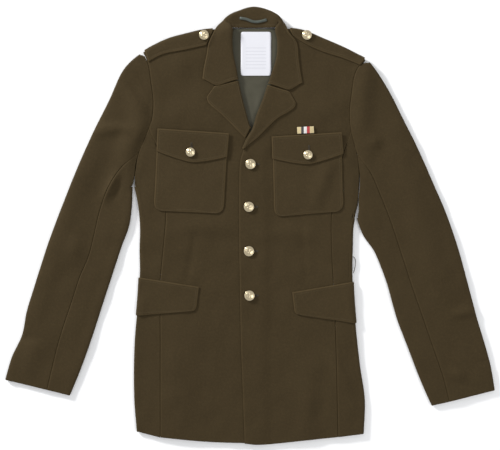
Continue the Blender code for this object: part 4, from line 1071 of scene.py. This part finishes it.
def build_label(paper):
    left, low, right, high = LABEL_BOX
    columns = 6
    trees = surfaces("lining")
    ends = [(1.0 - down, inset) for down, inset in corner_rows(4, LABEL_CORNER, high - low)]
    lower = [pair for pair in reversed(ends) if pair[0] < 0.5]
    table = []
    for up, inset in lower + [(1.0 - up, inset) for up, inset in reversed(lower)]:
        y = low + (high - low) * up
        line = []
        for column in range(columns + 1):
            x = left + inset + (right - left - 2 * inset) * column / columns
            line.append(Vector((x, y, top_of(trees, x, y, 5.0) + LAY_GAP + LABEL_CLOTH / 2)))
        table.append(line)
    sheet("size_label", table, LABEL_CLOTH, paper, trees)


def build_hanger_loop(satin):
    route = curve(HANGER_LOOP)
    rows = 12
    trees = surfaces("collar")
    table = []
    for row in range(rows + 1):
        share = row / rows
        normal = outward_normal(route, share, Vector((9.0, 0.0)))
        centre = route(share)
        rest = top_of(trees, centre.x, centre.y) + LAY_GAP + LOOP_CLOTH / 2
        height = rest + HANGER_ARCH * math.sin(math.pi * share)
        table.append([place_3d(centre + normal * LOOP_WIDTH * side, height) for side in (-0.5, 0.5)])
    sheet("hanger_loop", table, LOOP_CLOTH, satin, trees)


# Looks: colours, then steps of the weave, stitches and rules (millimetres, or metres on the map)
WOOL = ((0.0385, 0.0262, 0.0108), (0.0500, 0.0345, 0.0150))
WOOL_TRIM = ((0.0395, 0.0270, 0.0112), (0.0515, 0.0355, 0.0156))
WOOL_SHEEN = (0.5, 0.4, 0.25, 1.0)
STITCH_COLOUR = (0.072, 0.054, 0.028)
LINING_COLOURS = ((0.046, 0.043, 0.026), (0.072, 0.066, 0.044))
LOOP_COLOURS = ((0.045, 0.055, 0.046), (0.09, 0.10, 0.085))
THREAD_COLOUR = (0.030, 0.022, 0.011)
PAPER = (0.66, 0.66, 0.70)
RIB_STEP = 0.0016
THREAD_STEP = 0.0009
# Width of the band of painted highlight along each edge, in millimetres
HIGHLIGHT_EDGE_WIDTH = 2.6
STITCH_HALF_WIDTH = 0.42
STITCH_LENGTH = 3.2
STITCH_SHARE = 0.7
RULE_STEP = 0.0062
RULE_SHARE = 0.2
RULES_CENTRE = 0.011
RULES_HALF_WIDTH = 0.019
RULES_LOW = 0.287
RULES_HIGH = 0.331
RIBBON_RIB_STEP = 0.0008


def node(tree, kind, **values):
    made = tree.nodes.new(kind)
    for key, value in values.items():
        if hasattr(made, key):
            setattr(made, key, value)
        else:
            made.inputs[key].default_value = value
    return made


def plain_material(name, colour, roughness, metallic=0.0):
    material = bpy.data.materials.new(name)
    material.use_nodes = True
    shader = material.node_tree.nodes["Principled BSDF"]
    shader.inputs["Base Color"].default_value = (*colour, 1.0)
    shader.inputs["Roughness"].default_value = roughness
    shader.inputs["Metallic"].default_value = metallic
    return material, material.node_tree, shader


def maths(tree, operation, first, second=None):
    made = tree.nodes.new("ShaderNodeMath")
    made.operation = operation
    for index, value in enumerate((first, second)):
        if value is None:
            continue
        if isinstance(value, (int, float)):
            made.inputs[index].default_value = value
        else:
            tree.links.new(value, made.inputs[index])
    return made.outputs[0]


def product(tree, first, second):
    return maths(tree, "MULTIPLY", first, second)


def add_bump(tree, shader, height, strength, distance):
    bump = node(tree, "ShaderNodeBump", Strength=strength, Distance=distance)
    tree.links.new(height, bump.inputs["Height"])
    tree.links.new(bump.outputs[0], shader.inputs["Normal"])


def blend_colour(tree, share, first, second):
    made = tree.nodes.new("ShaderNodeMix")
    made.data_type = "RGBA"
    for index, value in ((0, share), (6, first), (7, second)):
        if isinstance(value, (int, float)):
            made.inputs[index].default_value = value
        elif isinstance(value, tuple):
            made.inputs[index].default_value = (*value, 1.0)
        else:
            tree.links.new(value, made.inputs[index])
    return made.outputs[2]


def wool_twill(name, colour, light, stitched):
    """Wool twill: fine diagonal ribs, mottled dye, a painted highlight along the edges (stronger on trim)
    and, on trim, a row of stitches.
    """
    material, tree, shader = plain_material(name, colour, 0.82)
    shader.inputs["Sheen Weight"].default_value = 0.1
    shader.inputs["Sheen Roughness"].default_value = 0.45
    shader.inputs["Specular IOR Level"].default_value = 0.1
    shader.inputs["Sheen Tint"].default_value = WOOL_SHEEN
    links = tree.links
    place = node(tree, "ShaderNodeTexCoord").outputs["Object"]
    cloth = node(tree, "ShaderNodeUVMap", uv_map="cloth").outputs["UV"]
    split = tree.nodes.new("ShaderNodeSeparateXYZ")
    links.new(cloth, split.inputs[0])
    diagonal = maths(tree, "ADD", split.outputs[0], split.outputs[1])
    ribs = maths(tree, "SINE", product(tree, diagonal, math.tau / RIB_STEP))
    threads = maths(tree, "SINE", product(tree, maths(tree, "SUBTRACT", split.outputs[0],
                                                               split.outputs[1]), math.tau / THREAD_STEP))
    broad = node(tree, "ShaderNodeTexNoise", Scale=9.0, Detail=4.0, Roughness=0.6)
    fine = node(tree, "ShaderNodeTexNoise", Scale=260.0, Detail=3.0, Roughness=0.7)
    fibre = node(tree, "ShaderNodeTexNoise", Scale=1900.0, Detail=2.0)
    for noise in (broad, fine, fibre):
        links.new(place, noise.inputs["Vector"])
    mottled = blend_colour(tree, product(tree, broad.outputs[0], 0.9), colour, light)
    speckle = product(tree, maths(tree, "SUBTRACT", fine.outputs[0], 0.42), 1.2)
    mottled = blend_colour(tree, speckle, mottled, tuple(part * 1.45 for part in light))
    ribbed = blend_colour(tree, product(tree, maths(tree, "ADD", ribs, 1.0), 0.16), mottled,
                          tuple(part * 0.45 for part in colour))
    edge = node(tree, "ShaderNodeAttribute", attribute_name="from_edge").outputs["Fac"]
    along = node(tree, "ShaderNodeAttribute", attribute_name="along_edge").outputs["Fac"]
    # Painted highlight: the colour is lightened in a band along every edge, where the rounded edges would
    # catch the light
    painted_edge_highlight = product(tree, maths(tree, "LESS_THAN", edge, HIGHLIGHT_EDGE_WIDTH), 0.22 if stitched else 0.08)
    with_edge_highlight = blend_colour(tree, painted_edge_highlight, ribbed, tuple(part * 2.1 for part in light))
    height = maths(tree, "ADD", product(tree, ribs, 0.5), product(tree, threads, 0.2))
    height = maths(tree, "ADD", height, product(tree, fibre.outputs[0], 1.2))
    if stitched:
        row = maths(tree, "LESS_THAN", maths(tree, "ABSOLUTE", maths(tree, "SUBTRACT", edge,
                                                                    STITCH_FROM_EDGE)), STITCH_HALF_WIDTH)
        steps = maths(tree, "FRACT", maths(tree, "DIVIDE", along, STITCH_LENGTH))
        dash = maths(tree, "LESS_THAN", steps, STITCH_SHARE)
        stitch = product(tree, row, dash)
        with_edge_highlight = blend_colour(tree, product(tree, stitch, 0.7), with_edge_highlight, STITCH_COLOUR)
        height = maths(tree, "ADD", height, product(tree, stitch, 1.6))
    links.new(with_edge_highlight, shader.inputs["Base Color"])
    add_bump(tree, shader, height, 0.35, 0.0003)
    return material


def satin(name, colour, light, roughness, scale):
    """Lining satin: a smooth face with faint threads and soft, uneven sheen."""
    material, tree, shader = plain_material(name, colour, roughness)
    shader.inputs["Sheen Weight"].default_value = 0.15
    shader.inputs["Specular IOR Level"].default_value = 0.25
    shader.inputs["Sheen Roughness"].default_value = 0.35
    links = tree.links
    place = node(tree, "ShaderNodeTexCoord").outputs["Object"]
    broad = node(tree, "ShaderNodeTexNoise", Scale=scale, Detail=4.0)
    fine = node(tree, "ShaderNodeTexWave", Scale=420.0, Distortion=1.5)
    links.new(place, broad.inputs["Vector"])
    links.new(place, fine.inputs["Vector"])
    shade = blend_colour(tree, broad.outputs[0], colour, light)
    shade = blend_colour(tree, product(tree, fine.outputs["Fac"], 0.2), shade,
                         tuple(part * 0.5 for part in colour))
    links.new(shade, shader.inputs["Base Color"])
    add_bump(tree, shader, fine.outputs["Fac"], 0.2, 0.0002)
    return material


def label_paper(name):
    """White woven label with a bound edge and a few faint plain rules."""
    material, tree, shader = plain_material(name, PAPER, 0.75)
    links = tree.links
    place = node(tree, "ShaderNodeTexCoord").outputs["Object"]
    split = tree.nodes.new("ShaderNodeSeparateXYZ")
    links.new(place, split.inputs[0])
    across = maths(tree, "ABSOLUTE", maths(tree, "SUBTRACT", split.outputs[0], RULES_CENTRE))
    rows = maths(tree, "FRACT", maths(tree, "DIVIDE", split.outputs[1], RULE_STEP))
    rule = maths(tree, "LESS_THAN", rows, RULE_SHARE)
    inside = maths(tree, "LESS_THAN", across, RULES_HALF_WIDTH)
    low = maths(tree, "GREATER_THAN", split.outputs[1], RULES_LOW)
    high = maths(tree, "LESS_THAN", split.outputs[1], RULES_HIGH)
    marks = product(tree, product(tree, rule, inside), product(tree, low, high))
    edge = node(tree, "ShaderNodeAttribute", attribute_name="from_edge").outputs["Fac"]
    bound = product(tree, maths(tree, "LESS_THAN", edge, 1.2), 0.35)
    shade = blend_colour(tree, product(tree, marks, 0.3), PAPER, (0.30, 0.30, 0.34))
    shade = blend_colour(tree, bound, shade, (0.55, 0.54, 0.52))
    weave = node(tree, "ShaderNodeTexNoise", Scale=900.0, Detail=2.0)
    links.new(place, weave.inputs["Vector"])
    shade = blend_colour(tree, product(tree, weave.outputs[0], 0.12), shade, (0.6, 0.6, 0.62))
    links.new(shade, shader.inputs["Base Color"])
    add_bump(tree, shader, weave.outputs[0], 0.3, 0.0002)
    return material


def ribbon_silk(name):
    """Ribbed silk in plain stripes."""
    material, tree, shader = plain_material(name, (0.72, 0.60, 0.30), 0.6)
    shader.inputs["Sheen Weight"].default_value = 0.3
    links = tree.links
    place = node(tree, "ShaderNodeTexCoord").outputs["Object"]
    split = tree.nodes.new("ShaderNodeSeparateXYZ")
    links.new(place, split.inputs[0])
    low = RIBBON_BAR[0][0] * MM
    high = RIBBON_BAR[1][0] * MM
    share = maths(tree, "DIVIDE", maths(tree, "SUBTRACT", split.outputs[0], low), high - low)
    ramp = tree.nodes.new("ShaderNodeValToRGB")
    ramp.color_ramp.interpolation = "CONSTANT"
    stripes = ((0.0, (0.62, 0.50, 0.26)), (0.24, (0.03, 0.025, 0.03)), (0.40, (0.78, 0.76, 0.72)),
               (0.58, (0.45, 0.03, 0.03)), (0.76, (0.62, 0.50, 0.26)))
    while len(ramp.color_ramp.elements) < len(stripes):
        ramp.color_ramp.elements.new(0.5)
    for stop, (position, colour) in zip(ramp.color_ramp.elements, stripes):
        stop.position = position
        stop.color = (*colour, 1.0)
    links.new(share, ramp.inputs[0])
    ribs = maths(tree, "SINE", product(tree, split.outputs[1], math.tau / RIBBON_RIB_STEP))
    shade = blend_colour(tree, product(tree, maths(tree, "ADD", ribs, 1.0), 0.14),
                         ramp.outputs[0], (0.02, 0.018, 0.015))
    links.new(shade, shader.inputs["Base Color"])
    add_bump(tree, shader, ribs, 0.4, 0.0002)
    return material


def worn_brass(name):
    """Pale polished brass, dull in random patches."""
    material, tree, shader = plain_material(name, (0.70, 0.60, 0.40), 0.28, 1.0)
    links = tree.links
    place = node(tree, "ShaderNodeTexCoord").outputs["Object"]
    noise = node(tree, "ShaderNodeTexNoise", Scale=420.0, Detail=5.0, Roughness=0.7)
    links.new(place, noise.inputs["Vector"])
    dull = product(tree, noise.outputs[0], 0.7)
    links.new(blend_colour(tree, dull, (0.76, 0.66, 0.46), (0.34, 0.25, 0.12)), shader.inputs["Base Color"])
    links.new(maths(tree, "ADD", product(tree, noise.outputs[0], 0.3), 0.15),
              shader.inputs["Roughness"])
    return material


def finish_mesh(name, shape, material, replaced):
    bmesh.ops.remove_doubles(shape, verts=shape.verts, dist=1e-6)
    bmesh.ops.recalc_face_normals(shape, faces=shape.faces)
    for face in shape.faces:
        face.smooth = True
    mesh = bpy.data.meshes.new(name)
    shape.to_mesh(mesh)
    shape.free()
    mesh.materials.append(material)
    piece = bpy.data.objects.new(name, mesh)
    bpy.context.collection.objects.link(piece)
    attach(piece, "root")
    if replaced:
        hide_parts(replaced)
    built[name] = piece
    return piece


# A button from its back to its top: share of the radius, height
BUTTON_PROFILE = [(0.0, 0.0), (0.32, 0.0), (0.32, 1.2), (0.82, 1.4), (0.97, 1.9), (1.0, 2.4),
                  (0.97, 2.9), (0.9, 3.15), (0.84, 3.0), (0.80, 2.9), (0.74, 3.15), (0.68, 3.4),
                  (0.60, 3.75), (0.50, 4.1), (0.40, 4.4), (0.30, 4.62), (0.2, 4.78), (0.1, 4.88),
                  (0.0, 4.9)]
BUTTON_STEPS = 64
BUTTON_GAP = 0.2
BUTTON_TURN = 0.7
RIM_VALLEY = 2.8
FACE_SHARE = 0.79
PETALS = 6
BEADS = 16

# The worked ring of a buttonhole, and the ribbon on its bar
RING = 1.1
RING_THREAD = 0.55
RING_SEGMENTS = 8
RING_STEPS = 32
RING_FLATNESS = 0.7
RING_LIFT = 0.25
RING_REACH = 0.4
RIBBON_HEIGHT = 1.8
RIBBON_BEVEL = 0.6
RIBBON_LIFT = 1.2


def build_button(name, x, y, base, diameter, turn, metal):
    """A domed button: rolled rim, ring of beads and a raised rosette."""
    radius = diameter / 2
    shape = bmesh.new()
    verts = [shape.verts.new(Vector((radius * share, 0.0, height))) for share, height in BUTTON_PROFILE]
    edges = [shape.edges.new(pair) for pair in zip(verts, verts[1:])]
    bmesh.ops.spin(shape, geom=verts + edges, cent=(0, 0, 0), axis=(0, 0, 1), angle=math.tau,
                   steps=BUTTON_STEPS, use_merge=True, use_duplicate=False)
    for vertex in shape.verts:
        away = math.hypot(vertex.co.x, vertex.co.y) / radius
        angle = math.atan2(vertex.co.y, vertex.co.x) + turn
        if vertex.co.z > RIM_VALLEY and away < FACE_SHARE:
            petal = max(0.0, math.cos(PETALS * angle)) ** 0.7
            ring = math.exp(-((away - 0.38) / 0.2) ** 2)
            beads = (0.5 + 0.5 * math.cos(BEADS * angle)) * math.exp(-((away - 0.7) / 0.06) ** 2)
            heart = math.exp(-(away / 0.11) ** 2)
            vertex.co.z += 0.45 * petal * ring + 0.3 * beads + 0.25 * heart
    bmesh.ops.translate(shape, vec=Vector((x, y, base)), verts=shape.verts)
    bmesh.ops.scale(shape, vec=Vector((MM, MM, MM)), verts=shape.verts)
    finish_mesh(name + "_brass", shape, metal, name)


def build_buttons(metal):
    sides = ("left", "right")
    for kind, diameter, places, below in (
            ("front_button", FRONT_BUTTON, FRONT_BUTTONS, ["front_right"]),
            ("pocket_button", POCKET_BUTTON, POCKET_BUTTONS, ["breast_flap_" + side for side in sides]),
            ("strap_button", STRAP_BUTTON, STRAP_BUTTONS, ["shoulder_strap_" + side for side in sides])):
        trees = surfaces(*below)
        for number, (x, y) in enumerate(places, start=1):
            build_button(f"{kind}_{number}", x, y, top_of(trees, x, y) + BUTTON_GAP, diameter,
                         number * BUTTON_TURN, metal)


def build_buttonhole(name, x, y, half_length, upright, below, thread):
    """The worked rim of a buttonhole: a low ring of thread, drawn out along the slit."""
    shape = bmesh.new()
    ring = bmesh.ops.create_circle(shape, cap_ends=False, segments=RING_SEGMENTS,
                                   radius=RING_THREAD)["verts"]
    bmesh.ops.rotate(shape, verts=ring, cent=(0, 0, 0), matrix=Matrix.Rotation(math.pi / 2, 3, "X"))
    bmesh.ops.translate(shape, vec=(RING, 0.0, 0.0), verts=ring)
    bmesh.ops.spin(shape, geom=list(shape.verts) + list(shape.edges), cent=(0, 0, 0), axis=(0, 0, 1),
                   angle=math.tau, steps=RING_STEPS, use_merge=True, use_duplicate=False)
    trees = surfaces(*below)
    stretch = half_length - RING
    for vertex in shape.verts:
        vertex.co.x += stretch * smooth((vertex.co.x + RING) / (2 * RING)) * 2 - stretch
        if upright:
            vertex.co.x, vertex.co.y = -vertex.co.y, vertex.co.x
        vertex.co.x += x
        vertex.co.y += y
        rest = top_of(trees, vertex.co.x, vertex.co.y, RING_REACH)
        vertex.co.z = vertex.co.z * RING_FLATNESS + rest + RING_LIFT
    bmesh.ops.scale(shape, vec=Vector((MM, MM, MM)), verts=shape.verts)
    finish_mesh(name, shape, thread, None)


def build_ribbon(silk):
    """The medal ribbon on its bar, with rounded ends."""
    corners = [Vector(corner) for corner in RIBBON_BAR]
    middle = sum(corners, Vector((0.0, 0.0))) / 4
    width = (corners[1] - corners[0]).length
    height = (corners[3] - corners[0]).length
    turn = math.atan2(corners[1].y - corners[0].y, corners[1].x - corners[0].x)
    shape = bmesh.new()
    bmesh.ops.create_cube(shape, size=1.0)
    bmesh.ops.scale(shape, vec=Vector((width, height, RIBBON_HEIGHT)), verts=shape.verts)
    bmesh.ops.bevel(shape, geom=list(shape.edges), offset=RIBBON_BEVEL, segments=3,
                    profile=0.5, affect="EDGES", material=-1)
    bmesh.ops.rotate(shape, verts=shape.verts, cent=(0, 0, 0), matrix=Matrix.Rotation(turn, 3, "Z"))
    base = top_of(surfaces("front_right"), middle.x, middle.y, width / 2)
    bmesh.ops.translate(shape, vec=Vector((middle.x, middle.y, base + RIBBON_LIFT)), verts=shape.verts)
    bmesh.ops.scale(shape, vec=Vector((MM, MM, MM)), verts=shape.verts)
    finish_mesh("medal_ribbon_silk", shape, silk, "medal_ribbon")


# Ground, sky, lights (name, place, size, power) and camera, in metres
FLOOR_SIZE = 8.0
FLOOR_LEVEL = -0.0004
FLOOR_COLOUR = (0.93, 0.93, 0.93)
SKY_COLOUR = (0.97, 0.98, 1.0, 1.0)
SKY_STRENGTH = 0.68
LIGHTS = [("key", (-2.6, 2.2, 1.25), 0.5, 160.0), ("fill", (1.9, -0.8, 2.4), 1.6, 26.0)]
CAMERA_LENS = 85.0
CAMERA_SENSOR = 36.0
CAMERA_PLACE = (0.0, 0.0014, 2.192)

# Buttonholes: how far each stands beside or above its button, and half its length
FRONT_HOLE_SHIFT = 11.0
FRONT_HOLE_HALF = 5.5
POCKET_HOLE_SHIFT = (2.0, 13.0)
POCKET_HOLE_HALF = 4.5


def build_stage():
    bpy.ops.mesh.primitive_plane_add(size=FLOOR_SIZE, location=(0.0, 0.0, FLOOR_LEVEL))
    floor = bpy.context.object
    floor.name = "floor"
    floor.data.materials.append(plain_material("pale_floor", FLOOR_COLOUR, 0.9)[0])
    world = bpy.data.worlds.new("studio")
    bpy.context.scene.world = world
    world.use_nodes = True
    sky = world.node_tree.nodes["Background"]
    sky.inputs[0].default_value = SKY_COLOUR
    sky.inputs[1].default_value = SKY_STRENGTH
    for name, place, size, power in LIGHTS:
        light = bpy.data.lights.new(name, "AREA")
        light.energy = power
        light.size = size
        lamp = bpy.data.objects.new(name, light)
        lamp.location = place
        lamp.rotation_euler = (-Vector(place)).to_track_quat("-Z", "Y").to_euler()
        bpy.context.collection.objects.link(lamp)
    camera_data = bpy.data.cameras.new("camera")
    camera_data.lens = CAMERA_LENS
    camera_data.sensor_width = CAMERA_SENSOR
    camera = bpy.data.objects.new("camera", camera_data)
    camera.location = CAMERA_PLACE
    bpy.context.collection.objects.link(camera)
    bpy.context.scene.camera = camera
    bpy.context.scene.view_settings.view_transform = "Standard"


def main():
    build_stage()
    cloth = wool_twill("wool_twill", *WOOL, False)
    trim = wool_twill("wool_twill_stitched", *WOOL_TRIM, True)
    lining = satin("lining_satin", *LINING_COLOURS, 0.6, 60.0)
    loop_satin = satin("loop_satin", *LOOP_COLOURS, 0.35, 120.0)
    metal = worn_brass("worn_brass")
    thread = plain_material("loop_thread", THREAD_COLOUR, 0.8)[0]
    build_backs(cloth)
    build_side_bodies(cloth)
    build_fronts(cloth)
    build_sleeves(cloth)
    build_lining(lining)
    build_label(label_paper("label_paper"))
    build_lapels(trim)
    build_straps(trim)
    build_collar(trim)
    build_hanger_loop(loop_satin)
    build_breast_pockets(trim)
    build_lower_flaps(trim)
    build_buttons(metal)
    build_ribbon(ribbon_silk("ribbon_silk"))
    for number, (x, y) in enumerate(FRONT_BUTTONS, start=1):
        build_buttonhole(f"buttonhole_{number}", x + FRONT_HOLE_SHIFT, y, FRONT_HOLE_HALF, False,
                         ["front_right"], thread)
    for number, ((x, y), side) in enumerate(zip(POCKET_BUTTONS, ("left", "right")), start=1):
        build_buttonhole(f"pocket_buttonhole_{number}", x + POCKET_HOLE_SHIFT[0],
                         y + POCKET_HOLE_SHIFT[1], POCKET_HOLE_HALF, True,
                         ["breast_flap_" + side], thread)
    belt_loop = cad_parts["belt_loop"]
    belt_loop.data.materials.clear()
    belt_loop.data.materials.append(thread)


main()
